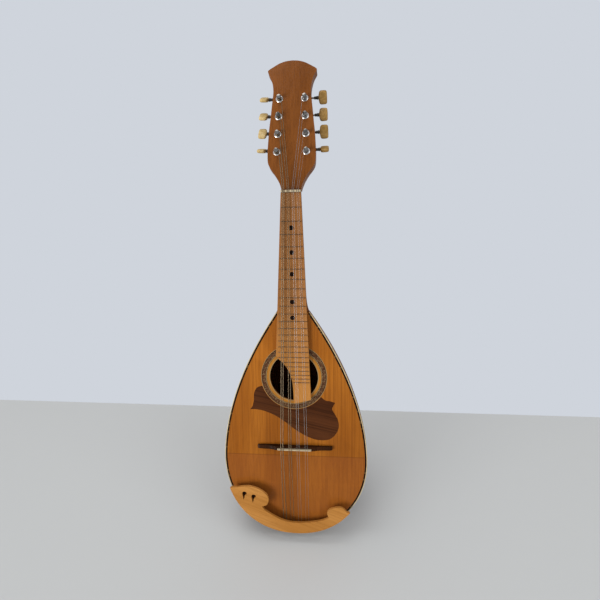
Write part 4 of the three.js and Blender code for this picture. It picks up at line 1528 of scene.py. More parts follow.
@dataclass
class Neck:
    """The neck with its heel."""

    length: float = 155.3
    depth: float = 15
    thickening: float = 3
    heel_length: float = 34
    heel_depth: float = 28
    back_power: float = 0.92
    edge: float = 0.3
    joint_height: float = 0.6
    back_steps: int = 34
    front_steps: int = 8
    rows: int = 60

    def section(self, distance: float, lean: float = 0.0) -> list[Vector]:
        """Gives the neck's section at a distance below the nut: round behind and flat in front.

        Args:
            distance: The distance below the nut.
            lean: The angle by which the section leans back.

        Returns:
            The section's points.
        """
        share = max(0.0, 1 - (self.length - distance) / self.heel_length) ** 2
        plain = self.depth + self.thickening * max(0.0, distance) / self.length
        depth = plain + (self.heel_depth - plain) * share
        joint = FINGERBOARD.half_width(self.length)
        half_width = FINGERBOARD.half_width(max(0.0, distance)) + (BODY.shoulder - joint) * share ** 2
        place = NUT_PLACE - distance
        back = [
            (half_width * math.cos(angle), depth * math.sin(angle) ** self.back_power)
            for angle in sweep(0, math.pi, self.back_steps)]
        front = [(half_width * across, 0.0) for across in sweep(-1, 1, self.front_steps)[1:-1]]
        return [Vector((x, y, place - y * math.tan(lean))) for x, y in [*back, *front]]

    def build(self) -> None:
        """Models the neck in one loft from the heel to the head joint."""
        rings = [self.section(self.length * (1 - row / self.rows)) for row in range(self.rows)]
        rings.append(self.section(self.joint_height))
        rings.append(self.section(JOINT_GAP - NUT_THICKNESS, HEAD_ANGLE))
        neck = skinned("neck_shaft", rings)
        round_edges(neck, self.edge, 2, SKIN_ANGLE)
        smooth_shading(neck)
        install(neck, NECK_WOOD, "neck")


# The head and its tuners


@dataclass
class Headstock:
    """The head, a thick board with ears at its top and a hole for each post."""

    length: float = 173
    half_width: float = 31.4
    thickness: float = 13
    edge: float = 1.1
    hole_radius: float = 3.3
    side_shares: tuple[Point, ...] = (
        (0.414, 0.0), (0.45, 0.025), (0.554, 0.072), (0.707, 0.12), (0.9, 0.168), (0.985, 0.208), (1, 0.289),
        (0.98, 0.364), (0.945, 0.462), (0.892, 0.549), (0.853, 0.628), (0.806, 0.709), (0.79, 0.765),
        (0.828, 0.822), (0.904, 0.871), (1.0, 0.906), (1.03, 0.921), (0.985, 0.932), (0.82, 0.951),
        (0.55, 0.979), (0.28, 0.995), (0, 1))

    def build(self) -> None:
        """Models the head with rounded edges."""
        side = curve_through(scaled(self.side_shares, self.half_width, self.length), steps=5)
        outline = [*side, *mirrored(side[:-1])]
        centres = [tuner.post_matrix.translation for tuner in TUNERS]
        holes = [ring(centre.x, centre.z, self.hole_radius) for centre in centres]
        head = slab("head_board", outline, 0, self.thickness, holes=holes, edge=self.edge, segments=3)
        install(head, HEAD_WOOD, "headstock", where=ON_HEAD)


@dataclass(frozen=True)
class TunerRow:
    """The sizes of a row of tuners, measured from the face of the head."""

    spacing: float = 23.85
    first_place: float = 49.1
    first_across: float = 19.3
    last_across: float = 16.6
    count: int = 4
    plate_front: float = 13.3
    plate_thickness: float = 1.2
    axis_depth: float = 17.45
    worm_above_post: float = 8.8
    gear_teeth: int = 14
    gear_radius: float = 6.8
    gear_width: float = 3.4
    worm_radius: float = 2.0
    worm_root: float = 1.0
    addendum: float = 0.6
    dedendum: float = 0.75
    tooth_share: float = 0.31
    taper_share: float = 0.12
    worm_turns: float = 2.25
    shaft_radius: float = 1.25
    lug_thickness: float = 1.8
    running_gap: float = 0.35

    @property
    def lean(self) -> float:
        """Gives the angle by which a row leans inwards."""
        return math.asin((self.first_across - self.last_across) / (self.spacing * (self.count - 1)))

    @property
    def pitch(self) -> float:
        """Gives the gear's pitch along its circle."""
        return FULL_TURN * self.gear_radius / self.gear_teeth

    @property
    def lug_inner(self) -> float:
        """Gives the distance of a lug's inner face from the middle of the worm."""
        return self.pitch * (self.worm_turns + self.tooth_share + self.taper_share) / 2 + self.running_gap

    @property
    def lug_outer(self) -> float:
        """Gives the distance of a lug's outer face."""
        return self.lug_inner + self.lug_thickness

    def tooth(self, pitch: float) -> Point3:
        """Gives a tooth's half widths at its tip, flank and root, for a pitch."""
        tip, root = ((self.tooth_share + sign * self.taper_share) * pitch / 2 for sign in (-1, 1))
        return tip, (tip + root) / 2, root

    def matrix(self, side: int) -> Matrix:
        """Gives the place of a side's row on the head."""
        start = Matrix.Translation((side * self.first_across, 0, self.first_place))
        return start @ Matrix.Rotation(-side * self.lean, 4, "Y")


ROW = TunerRow()


@dataclass(frozen=True)
class Tuner:
    """One tuner: a post with its wheel, and a worm with its button."""

    number: int
    side: int
    index: int
    button_turn: float

    @property
    def post_matrix(self) -> Matrix:
        """Gives the post's place on the head."""
        return ROW.matrix(self.side) @ Matrix.Translation((0, 0, ROW.spacing * self.index))

    @property
    def drive_matrix(self) -> Matrix:
        """Gives the worm's place on the head, its axis towards the button."""
        turn = Matrix.Rotation(math.pi if self.side < 0 else 0.0, 4, "Z")
        return self.post_matrix @ Matrix.Translation((0, ROW.axis_depth, ROW.worm_above_post)) @ turn


BUTTON_TURNS = (1.12, 0.45, 0.7, 0.92, -0.85, 0.2, 0.0, 0.2)
TUNERS = tuple(
    Tuner(number + 1, -1 if number < ROW.count else 1, number % ROW.count, turn)
    for number, turn in enumerate(BUTTON_TURNS))


@dataclass
class TunerWork:
    """All the metal and the buttons of the eight tuners."""

    post_profile: tuple[Point, ...] = (
        (2.1, 15.8), (2.1, 13.1), (2.9, 13.0), (2.95, 1.0), (2.95, -1.7), (2.55, -2.2), (2.4, -2.6),
        (2.4, -5.7), (2.6, -6.2), (2.98, -6.6), (3.0, -7.1), (2.7, -7.55), (2.0, -7.7))
    bushing_section: tuple[Point, ...] = (
        (3.15, 1.2), (3.75, 1.2), (3.8, 0.05), (4.7, -0.05), (4.75, -0.45), (4.4, -0.8), (3.8, -0.95),
        (3.5, -1.3), (3.15, -1.35))
    wheel_screw_profile: tuple[Point, ...] = ((1.95, 18.9), (2.0, 19.9), (1.7, 20.2), (0.8, 20.3))
    wheel_layers: int = 6
    wheel_angle: float = 25
    tooth_edge: float = 0.1
    tooth_angle: float = 60
    steps_per_turn: int = 28
    shaft_bevel: float = 0.25
    shaft_lip: float = 0.1
    button_place: float = 15.3
    button_length: float = 13.7
    button_half_height: float = 9
    button_half_thickness: float = 2.75
    button_sides: int = 40
    button_squareness: float = 2.6
    button_shares: tuple[Point3, ...] = (
        (0.15, 0.2, 0.62), (0.19, 0.45, 0.8), (0.23, 0.74, 0.92), (0.31, 0.93, 0.99), (0.45, 1, 1),
        (0.62, 1, 1), (0.78, 0.99, 0.98), (0.89, 0.95, 0.92), (0.96, 0.85, 0.76), (0.99, 0.68, 0.5),
        (1, 0.3, 0.2))
    stem_profile: tuple[Point, ...] = (
        (1.6, -3.6), (1.9, -3.2), (1.9, -0.3), (2.35, 0.0), (2.4, 1.4), (2.0, 1.7), (1.85, 2.7))
    plate_half_width: float = 7.14
    plate_low: float = -9
    plate_corner_share: float = 0.72
    plate_edge: float = 0.25
    post_hole_radius: float = 2.5
    lug_half_height: float = 2.9
    lug_sink: float = 0.3
    lug_edge: float = 0.2
    bore_clearance: float = 0.12
    screw_above_post: float = 14.1
    last_screw_place: float = 84.6
    screw_radius: float = 1.75
    screw_height: float = 1.1
    screw_turns: Point = (0.5, 0.9)

    def build(self) -> None:
        """Builds each kind of piece once, and copies it to its places."""
        post = turned("post_barrel", self.post_profile)
        wheel = self.make_wheel()
        wheel_screw = turned("wheel_screw", self.wheel_screw_profile, ROUND_SIDES)
        bushing = hoop("bushing", self.bushing_section)
        worm = self.make_worm()
        button = self.make_button()
        stem = turned("button_stem", self.stem_profile, ROUND_SIDES)
        stem.data.transform(ALONG_X)
        for tuner in TUNERS:
            number = tuner.number
            at_post = ON_HEAD @ tuner.post_matrix
            at_drive = ON_HEAD @ tuner.drive_matrix
            at_button = (
                at_drive @ Matrix.Translation((self.button_place, 0, 0))
                @ Matrix.Rotation(tuner.button_turn, 4, "X"))
            post_body, worm_body = f"post_{number}", f"worm_{number}"
            post_nodes = [f"string_post_{number}"]
            moulding = BUTTON_PALE if tuner.side < 0 else BUTTON_AMBER
            for pattern, finish, where, body, nodes in (
                (post, CHROME, at_post, post_body, post_nodes),
                (wheel, GEAR_METAL, at_post, post_body, post_nodes),
                (wheel_screw, WORM_METAL, at_post, post_body, post_nodes),
                (bushing, BUSHING_METAL, at_post, ROOT, []),
                (worm, WORM_METAL, at_drive, worm_body, [f"worm_shaft_{number}"]),
                (button, moulding, at_button, worm_body, [f"button_{number}"]),
                (stem, STEM_METAL, at_button, worm_body, []),
            ):
                piece = copied(pattern, f"{pattern.name}_{number}")
                install(piece, finish, *nodes, where=where, body=body)
        for pattern in (post, wheel, wheel_screw, bushing, worm, button, stem):
            bpy.data.objects.remove(pattern)
        for side, name in ((-1, "left"), (1, "right")):
            plate = self.make_plate(f"strip_{name}")
            install(plate, PLATE_METAL, f"tuner_plate_{name}", where=ON_HEAD @ ROW.matrix(side))
            self.build_strip_screws(side, name)

    def make_wheel(self) -> Piece:
        """Models the wheel, its teeth slanted to the worm's lead and a space towards the worm.

        Returns:
            The new object.
        """
        lead = math.atan(ROW.pitch / (FULL_TURN * ROW.worm_radius))
        twist = math.tan(lead) * ROW.gear_width / 2 / ROW.gear_radius
        tooth_angle = FULL_TURN / ROW.gear_teeth
        half_tip, flank, half_root = ROW.tooth(1)
        tip, root = ROW.gear_radius + ROW.addendum, ROW.gear_radius - ROW.dedendum
        corners = (
            (-0.5, root), (-half_root, root), (-flank, (tip + root) / 2), (-half_tip, tip), (0.0, tip),
            (half_tip, tip), (flank, (tip + root) / 2), (half_root, root))
        rings = []
        for share in sweep(0, 1, self.wheel_layers):
            depth = ROW.axis_depth + ROW.gear_width * (share - 0.5)
            angles = [
                ((tooth + 0.5 + corner) * tooth_angle + twist * (1 - 2 * share), radius)
                for tooth in range(ROW.gear_teeth) for corner, radius in corners]
            rings.append([
                Vector((radius * math.sin(angle), depth, radius * math.cos(angle)))
                for angle, radius in angles])
        wheel = skinned("gear_wheel", rings)
        round_edges(wheel, self.tooth_edge, 1, self.tooth_angle)
        smooth_shading(wheel, self.wheel_angle)
        return wheel

    def make_worm(self) -> Piece:
        """Models the worm's thread and shaft along the x axis, towards the button.

        Returns:
            The new object.
        """
        half_tip, flank, half_root = ROW.tooth(ROW.pitch)
        tip = ROW.worm_radius + ROW.addendum
        half_height = (ROW.worm_root + tip) / 2
        corners = (
            (-half_root, ROW.worm_root), (-flank, half_height), (-half_tip, tip), (half_tip, tip),
            (flank, half_height), (half_root, ROW.worm_root))
        steps = round(ROW.worm_turns * self.steps_per_turn)
        rings = [
            [Vector((
                ROW.pitch * turns + along, radius * math.sin(FULL_TURN * turns),
                -radius * math.cos(FULL_TURN * turns))) for along, radius in corners]
            for turns in sweep(-ROW.worm_turns / 2, ROW.worm_turns / 2, steps)]
        thread = skinned("worm_screw", rings)
        smooth_shading(thread, THREAD_ANGLE)
        inner = -ROW.lug_outer - ROW.running_gap
        outer = self.button_place - JOINT_GAP
        radius = ROW.shaft_radius
        bevel, lip = self.shaft_bevel, self.shaft_lip
        shaft = turned("worm_shaft_bar", [
            (radius - bevel, inner), (radius, inner + bevel), (radius, outer - lip),
            (radius - lip, outer)], ROUND_SIDES)
        shaft.data.transform(ALONG_X)
        return joined("worm_screw", [thread, shaft])

    def make_button(self) -> Piece:
        """Models the flat button with round corners along the x axis.

        Returns:
            The new object.
        """
        heights = curve_through([(along, height) for along, height, _ in self.button_shares], steps=3)
        depths = curve_through([(along, depth) for along, _, depth in self.button_shares], steps=3)
        power = 2 / self.button_squareness
        section = [
            (bulged(across, power), bulged(up, power)) for across, up in ring(0, 0, 1, self.button_sides)]
        rings = [
            [Vector((
                self.button_length * along, self.button_half_thickness * depth * across,
                self.button_half_height * height * up)) for across, up in section]
            for (along, height), (_, depth) in zip(heights, depths)]
        button = skinned("button_blade", rings)
        smooth_shading(button, SKIN_ANGLE)
        return button

    def make_plate(self, name: str) -> Piece:
        """Models a tuner strip: a plate with round ends, and two bearing lugs for each worm.

        Args:
            name: The piece's name.

        Returns:
            The new object.
        """
        half = self.plate_half_width
        high = ROW.spacing * (ROW.count - 1) + ROW.worm_above_post + self.lug_half_height - self.plate_low / 2
        corner_steps, crown_steps, bore_sides = 8, 12, 20
        corner = half * self.plate_corner_share
        low = self.plate_low + corner
        outline = []
        for number, (x, z) in enumerate((
            (half - corner, high - corner), (corner - half, high - corner), (corner - half, low),
            (half - corner, low))):
            outline += arc(x, z, (corner, corner), QUARTER * number, QUARTER * (number + 1), corner_steps)
        holes = [ring(0, ROW.spacing * index, self.post_hole_radius) for index in range(ROW.count)]
        back = ROW.plate_front + ROW.plate_thickness
        plate = slab(name, outline, ROW.plate_front, back, holes=holes, edge=self.plate_edge)
        height, foot = self.lug_half_height, back - self.lug_sink
        crown = arc(ROW.axis_depth, 0, (height, height), QUARTER, -QUARTER, crown_steps)
        section = [(foot, height), *crown, (foot, -height)]
        bore = ring(ROW.axis_depth, 0, ROW.shaft_radius + self.bore_clearance, bore_sides)
        half_lug = ROW.lug_thickness / 2
        lug = slab("lug", section, -half_lug, half_lug, Facing.SIDE, [bore], self.lug_edge)
        lugs = repeated(lug, [
            (side * (ROW.lug_inner + half_lug), 0, ROW.spacing * index + ROW.worm_above_post)
            for index in range(ROW.count) for side in (-1, 1)])
        return joined(name, [plate, *lugs])

    def build_strip_screws(self, side: int, name: str) -> None:
        """Sets the slotted screws that hold a strip to the head.

        Args:
            side: -1 for the left strip and 1 for the right one.
            name: The side's name.
        """
        screw = make_screw("strip_screw", self.screw_radius, self.screw_height)
        back = ROW.plate_front + ROW.plate_thickness
        first_turn, turn_step = self.screw_turns
        for index in range(ROW.count):
            along = min(ROW.spacing * index + self.screw_above_post, self.last_screw_place)
            turn = first_turn + turn_step * index
            place = Matrix.Translation((0, back, along)) @ Matrix.Rotation(turn, 4, "Y")
            head = copied(screw, f"strip_screw_{name}_{index + 1}")
            install(head, PLATE_METAL, where=ON_HEAD @ ROW.matrix(side) @ place)
        bpy.data.objects.remove(screw)


def make_screw(name: str, radius: float, height: float) -> Piece:
    """Models a slotted screw head that stands on y = 0 towards +y.

    Args:
        name: The piece's name.
        radius: The head's radius.
        height: The head's height.

    Returns:
        The new object.
    """
    slot_share, sink, crown, steps = 0.16, 0.4, 0.97 * radius, 14
    slot_floor, rim, shoulder, shoulder_radius = 0.4 * height, 0.45 * height, 0.5 * height, 0.9 * radius
    base = turned(name, [(radius, -sink), (radius, rim), (shoulder_radius, shoulder)], ROUND_SIDES)
    reach = math.acos(slot_share)
    halves = []
    for side in (-1, 1):
        outline = arc(0, 0, (side * crown, crown), -reach, reach, steps)
        halves.append(slab(f"{name}_half", outline, slot_floor, height, edge=radius * slot_share))
    return joined(name, [base, *halves])


# The bridge, tailpiece and armrest


@dataclass
class Bridge:
    """The floating bridge with its bone saddle."""

    half_length: float = 52
    half_thickness: float = 2.75
    height: float = 7.4
    arch_height: float = 1.6
    arch_half_width: float = 17
    arch_steps: int = 20
    saddle_half_length: float = 23.5
    saddle_half_thickness: float = 0.85
    saddle_shift: float = -0.4
    end_share: float = 0.97
    end_narrowing: float = 0.85
    saddle_height: float = 3.45
    saddle_sink: float = 0.4
    saddle_corner: Point = (0.9, 1.1)
    saddle_shoulder: float = 0.15
    saddle_edge: float = 0.15
    notch_depth: float = 0.2
    notch_share: float = 0.6
    seat_gap: float = 0.02
    edge: float = 0.45
    profile_shares: tuple[Point, ...] = (
        (1.0, 0.0), (1.0, 0.38), (0.94, 0.46), (0.84, 0.52), (0.7, 0.58), (0.6, 0.72), (0.545, 0.88),
        (0.49, 0.97), (0.44, 1.0))

    def build(self) -> None:
        """Builds the dark foot and the saddle."""
        edge = curve_through(
            scaled(self.profile_shares, self.half_length, -self.height, -JOINT_GAP), (1,), 4)[1:]
        seat = -self.seat_gap
        arch = arc(0, seat, (self.arch_half_width, -self.arch_height), 0, math.pi, self.arch_steps)[1:-1]
        outline = [
            (self.arch_half_width, seat), (self.half_length, seat), *edge, *mirrored(edge),
            (-self.half_length, seat), (-self.arch_half_width, seat), *reversed(arch)]
        base = slab(
            "bridge_foot", outline, BRIDGE_PLACE - self.half_thickness, BRIDGE_PLACE + self.half_thickness,
            Facing.END)
        for vertex in base.data.vertices:
            if abs(vertex.co.x) > self.end_share * self.half_length:
                vertex.co.z = BRIDGE_PLACE + (vertex.co.z - BRIDGE_PLACE) * self.end_narrowing
        round_edges(base, self.edge, 3)
        smooth_shading(base)
        apply_modifier(base, "WEIGHTED_NORMAL", keep_sharp=True)
        install(base, BRIDGE_WOOD, "bridge_base")
        self.build_saddle()

    def build_saddle(self) -> None:
        """Models the bone saddle with a notch for each string."""
        top = -JOINT_GAP - self.height - self.saddle_height
        notches = []
        for gauge, across in zip(STRING_RADII, string_places(SADDLE_SPACING, SADDLE_PAIR)):
            inner, low = self.notch_share * gauge, top + self.notch_depth
            notches += [
                (across - gauge, top), (across - inner, low), (across + inner, low), (across + gauge, top)]
        half, half_thickness = self.saddle_half_length, self.saddle_half_thickness
        foot = -JOINT_GAP - self.height + self.saddle_sink
        (corner, drop), shoulder = self.saddle_corner, top + self.saddle_shoulder
        place = BRIDGE_PLACE + self.saddle_shift
        end = [(-half, foot), (-half, top + drop), (-half + corner, shoulder)]
        saddle = slab(
            "bone_saddle", [*end, *notches, *mirrored(end)], place - half_thickness, place + half_thickness,
            Facing.END, edge=self.saddle_edge)
        install(saddle, BONE, "bridge_saddle")


@dataclass
class Tailpiece:
    """The bent plate over the tail with a hook for each string."""

    half_width: float = 22
    length: float = 13
    thickness: float = 1
    drop: float = 14
    hook_place: float = 5
    hook_radius: float = 0.9
    hook_height: float = 3.2
    hook_sides: int = 16
    hook_shares: tuple[Point, ...] = ((1, -0.0625), (0.8, 0.1875), (0.8, 0.71875), (1, 0.90625), (0.7, 1))
    flange_gap: float = 2.4
    seat_gap: float = 0.05
    bend: float = 1.6
    bend_steps: int = 6
    edge: float = 0.3
    screw_radius: float = 2.2
    screw_height: float = 1.2
    screw_shares: Point = (0.62, 0.55)
    screw_turn: float = 0.7

    def build(self) -> None:
        """Builds the plate, the hooks and the two screws in its flange."""
        front, back, bend = -JOINT_GAP - self.thickness, -self.seat_gap, self.bend
        inner = -CANT_LENGTH - self.flange_gap
        outer = inner - self.thickness
        section = [
            (back, -CANT_LENGTH + self.length), (front, -CANT_LENGTH + self.length),
            *arc(front + bend, outer + bend, (-bend, -bend), 0, QUARTER, self.bend_steps),
            (self.drop, outer), (self.drop, inner), (back, inner)]
        plate = slab("tail_plate", section, -self.half_width, self.half_width, Facing.SIDE, edge=self.edge)
        profile = scaled(self.hook_shares, self.hook_radius, -self.hook_height, front)
        hooks = repeated(turned("string_hook", profile, self.hook_sides), [
            (across, 0, -CANT_LENGTH + self.hook_place) for across in string_places(TAIL_SPACING, TAIL_PAIR)])
        install(joined("tail_plate", [plate, *hooks]), TAIL_METAL, "tailpiece", where=ON_TAIL)
        screw = make_screw("tail_screw", self.screw_radius, self.screw_height)
        across, down = self.screw_shares
        for side, name in ((-1, "left"), (1, "right")):
            place = (
                Matrix.Translation((side * self.half_width * across, self.drop * down, outer))
                @ Matrix.Rotation(-QUARTER, 4, "X") @ Matrix.Rotation(self.screw_turn * side, 4, "Y"))
            install(copied(screw, f"tail_screw_{name}"), TAIL_METAL, where=ON_TAIL @ place)
        bpy.data.objects.remove(screw)


@dataclass
class Armrest:
    """The pale wooden rest, raised on three feet over the tail, its pierced drops backed with dark sheets
    that paint the shade seen through them.
    """

    height: float = 8
    thickness: float = 3.6
    inward: float = 2
    edge: float = 1.3
    foot_radius: float = 4
    foot_sides: int = 28
    foot_shares: tuple[Point, ...] = (
        (1, 0.0025), (1, 0.15), (0.825, 0.275), (0.825, 0.8), (1, 0.925), (1, 1.075))
    # The dark sheets under the drops are painted shade.
    shade_sheet_margin: float = 0.8
    shade_sheet_thickness: float = 0.5
    shade_sheet_sink: float = 0.1
    drop_length: float = 10
    drop_turn: float = 0.15
    inner_shares: tuple[Point, ...] = (
        (-0.895, 0.222), (-0.81, 0.224), (-0.725, 0.229), (-0.64, 0.23), (-0.54, 0.222), (-0.47, 0.21),
        (-0.41, 0.194), (-0.38, 0.175), (-0.383, 0.156), (-0.415, 0.14), (-0.475, 0.134), (-0.43, 0.114),
        (-0.32, 0.09), (-0.21, 0.072), (-0.08, 0.061), (0.055, 0.06), (0.19, 0.064), (0.31, 0.071),
        (0.4, 0.08), (0.47, 0.092), (0.45, 0.107), (0.45, 0.12), (0.485, 0.133), (0.545, 0.141),
        (0.618, 0.145), (0.678, 0.138), (0.715, 0.124))
    inner_corners: tuple[int, ...] = (10, 19)
    drop_shares: tuple[Point, ...] = (
        (0.02, 0.52), (0.26, 0.44), (0.34, 0.2), (0.24, 0), (0.1, -0.12), (0.08, -0.45), (0.02, -0.72),
        (-0.02, -0.76), (-0.12, -0.4), (-0.28, -0.02), (-0.3, 0.25), (-0.2, 0.44), (0.02, 0.52))
    drop_place_shares: tuple[Point, ...] = ((-0.725, 0.188), (-0.595, 0.175))
    foot_place_shares: tuple[Point, ...] = ((-0.68, 0.135), (-0.44, 0.078), (0.57, 0.105))

    def spot(self, share: Point) -> Point:
        """Gives the place on the bent part of the body for a pair of shares."""
        return BODY_HALF_WIDTH * share[0], -CANT_LENGTH + BODY_LENGTH * share[1]

    def outline(self) -> list[Point]:
        """Gives the rest's outline: the lobed inner side, and the outer side along the body's edge.

        Returns:
            The outline's points.
        """
        inner = curve_through([self.spot(share) for share in self.inner_shares], self.inner_corners, 4)
        bass_top, treble_top = inner[0][1], inner[-1][1]
        outer = []
        for x, z in BODY.rim(self.inward):
            top = treble_top if x >= 0 else bass_top
            if z - CANT_PLACE < top - 1:
                outer.append((x, z - CANT_PLACE))
        return [*inner, *outer]

    def drop(self, share: Point) -> list[Point]:
        """Gives the outline of a pierced drop with a bent tail, its round end up the neck.

        Args:
            share: The drop's place, as shares.

        Returns:
            The drop's points.
        """
        around = curve_through(scaled(self.drop_shares, self.drop_length, self.drop_length), steps=3)
        turn = Matrix.Rotation(-self.drop_turn, 2)
        centre = Vector(self.spot(share))
        return [tuple(turn @ Vector(point) + centre) for point in around[:-1]]

    def build(self) -> None:
        """Builds the plate, the dark sheets of painted shade under its drops, and its feet."""
        holes = [self.drop(share) for share in self.drop_place_shares]
        plate = slab(
            "arm_plate", self.outline(), -self.height - self.thickness, -self.height, holes=holes,
            edge=self.edge, segments=4)
        install(plate, ARM_WOOD, "armrest", where=ON_TAIL)
        # A dark sheet under each drop paints the shade seen through the hole.
        for number, hole in enumerate(holes, 1):
            shade_sheet = slab(
                f"drop_veneer_{number}", inset(hole, -self.shade_sheet_margin), -self.height - self.shade_sheet_sink,
                -self.height + self.shade_sheet_thickness)
            install(shade_sheet, INLAY_DARK, where=ON_TAIL)
        for number, share in enumerate(self.foot_place_shares, 1):
            x, z = self.spot(share)
            profile = scaled(self.foot_shares, self.foot_radius, -self.height)
            foot = turned(f"arm_foot_{number}", profile, self.foot_sides)
            install(foot, ARM_WOOD, where=ON_TAIL @ Matrix.Translation((x, 0, z)))


# The strings

COURSES = 4
NUT_SPACING, NUT_PAIR = 6.2, 2.2
SADDLE_SPACING, SADDLE_PAIR = 11.2, 3.0
TAIL_SPACING, TAIL_PAIR = 10.6, 4.4
STRING_RADII = (0.5, 0.5, 0.36, 0.36, 0.2, 0.2, 0.15, 0.15)
STRING_NAMES = ("g1", "g2", "d1", "d2", "a1", "a2", "e1", "e2")


def string_places(spacing: float, pair: float) -> list[float]:
    """Gives the eight strings' places across, from the bass side."""
    centre = (COURSES - 1) / 2
    return [(course - centre) * spacing + half for course in range(COURSES) for half in (-pair / 2, pair / 2)]


@dataclass
class StringSet:
    """The eight strings, each from its loop on a hook to its winding on a post."""

    lift: float = 0.3
    winding_height: float = 2.6
    winding_steps: int = 22
    winding_loops: tuple[float, ...] = (2.7, 2.7, 3.6, 3.6, 5.3, 5.3, 5.3, 5.3)
    post_waist: float = 2.42
    winding_gap: float = 0.05
    end_share: float = 0.55
    loop_height: float = 7.0
    loop_steps: int = 12
    loop_angles: Point = (0.95 * math.pi, 2.05 * math.pi)
    twist_length: float = 4.0
    twist_turns: int = 3
    twist_steps: int = 10
    wound: int = 4

    def build(self) -> None:
        """Builds every string as one wire."""
        for index, (name, radius) in enumerate(zip(STRING_NAMES, STRING_RADII)):
            string = wire(f"wire_{name}", self.route(index, radius), radius)
            finish = WOUND_WIRE if index < self.wound else PLAIN_WIRE
            install(string, finish, f"string_{name}")

    def route(self, index: int, radius: float) -> list[Vector]:
        """Gives a string's route in the layout.

        Args:
            index: Its place from the bass side.
            radius: Half its thickness.

        Returns:
            The points from its twisted loop to the end of its winding.
        """
        at_saddle = string_places(SADDLE_SPACING, SADDLE_PAIR)[index]
        at_nut = string_places(NUT_SPACING, NUT_PAIR)[index]
        low, high = layout_box("bridge_saddle")
        over_saddle = low.y - self.lift - radius
        over_nut = layout_box("nut")[0].y - self.lift - radius
        saddle_back = Vector((at_saddle, over_saddle, low.z))
        nut_back = Vector((at_nut, over_nut, NUT_PLACE + NUT_THICKNESS))
        return [
            *self.tail_loop(index, radius, saddle_back), saddle_back,
            Vector((at_saddle, over_saddle, high.z)), Vector((at_nut, over_nut, NUT_PLACE)), nut_back,
            *self.winding(index, radius, nut_back)]

    def tail_loop(self, index: int, radius: float, towards: Vector) -> list[Vector]:
        """Gives the twisted loop that holds a string on its hook.

        Args:
            index: The string's place from the bass side.
            radius: Half its thickness.
            towards: The point that it runs to.

        Returns:
            The points of the loop and its twist.
        """
        tail = Tailpiece()
        across = string_places(TAIL_SPACING, TAIL_PAIR)[index]
        depth = -JOINT_GAP - tail.thickness - tail.hook_height / 2
        hook = TAIL @ Vector((across, depth, -CANT_LENGTH + tail.hook_place))
        up = (towards - hook).normalized()
        side = Vector((1, 0, 0))
        out = side.cross(up)
        reach = tail.hook_radius + radius
        points = []
        for share in sweep(1, 0, self.twist_steps * self.twist_turns):
            angle = FULL_TURN * self.twist_turns * share
            lift = self.loop_height + self.twist_length * share
            points.append(
                hook + up * lift + (side * -math.cos(angle) + out * math.sin(angle)) * 2 * radius)
        for angle in sweep(*self.loop_angles, self.loop_steps):
            points.append(hook + (side * math.cos(angle) + up * math.sin(angle)) * reach)
        return [*points, hook + up * self.loop_height]

    def winding(self, index: int, radius: float, start: Vector) -> list[Vector]:
        """Gives the winding round the post, from where the string first touches it.

        Args:
            index: The string's place from the bass side.
            radius: Half its thickness.
            start: The point that it comes from.

        Returns:
            The winding's points.
        """
        tuner = TUNERS[index if index < ROW.count else 3 * ROW.count - 1 - index]
        centre = tuner.post_matrix.translation
        from_nut = HEAD.inverted() @ start
        reach = self.post_waist + radius
        away = Vector((from_nut.x - centre.x, from_nut.z - centre.z))
        touch = math.atan2(away.y, away.x) - tuner.side * math.acos(reach / away.length)
        pitch = 2 * radius + self.winding_gap
        steps = round(self.winding_loops[index] * self.winding_steps)
        points = []
        for step in range(steps + 1):
            turns = step / self.winding_steps
            angle = touch - tuner.side * FULL_TURN * turns
            shrink = 1.0 if step < steps - 1 else self.end_share
            points.append(HEAD @ Vector((
                centre.x + shrink * reach * math.cos(angle), -self.winding_height - pitch * turns,
                centre.z + shrink * reach * math.sin(angle))))
        return points


# The pieces inside, the studio and the whole


def refinish(node: str, finish: Finish) -> None:
    """Gives a node of the frame a finish of its own.

    Args:
        node: The node's name.
        finish: Its new finish.
    """
    for slot in bpy.data.objects[node].material_slots:
        slot.link = "OBJECT"
        slot.material = material_of(finish)
    log.info("%s: kept, %s", node, finish.name)


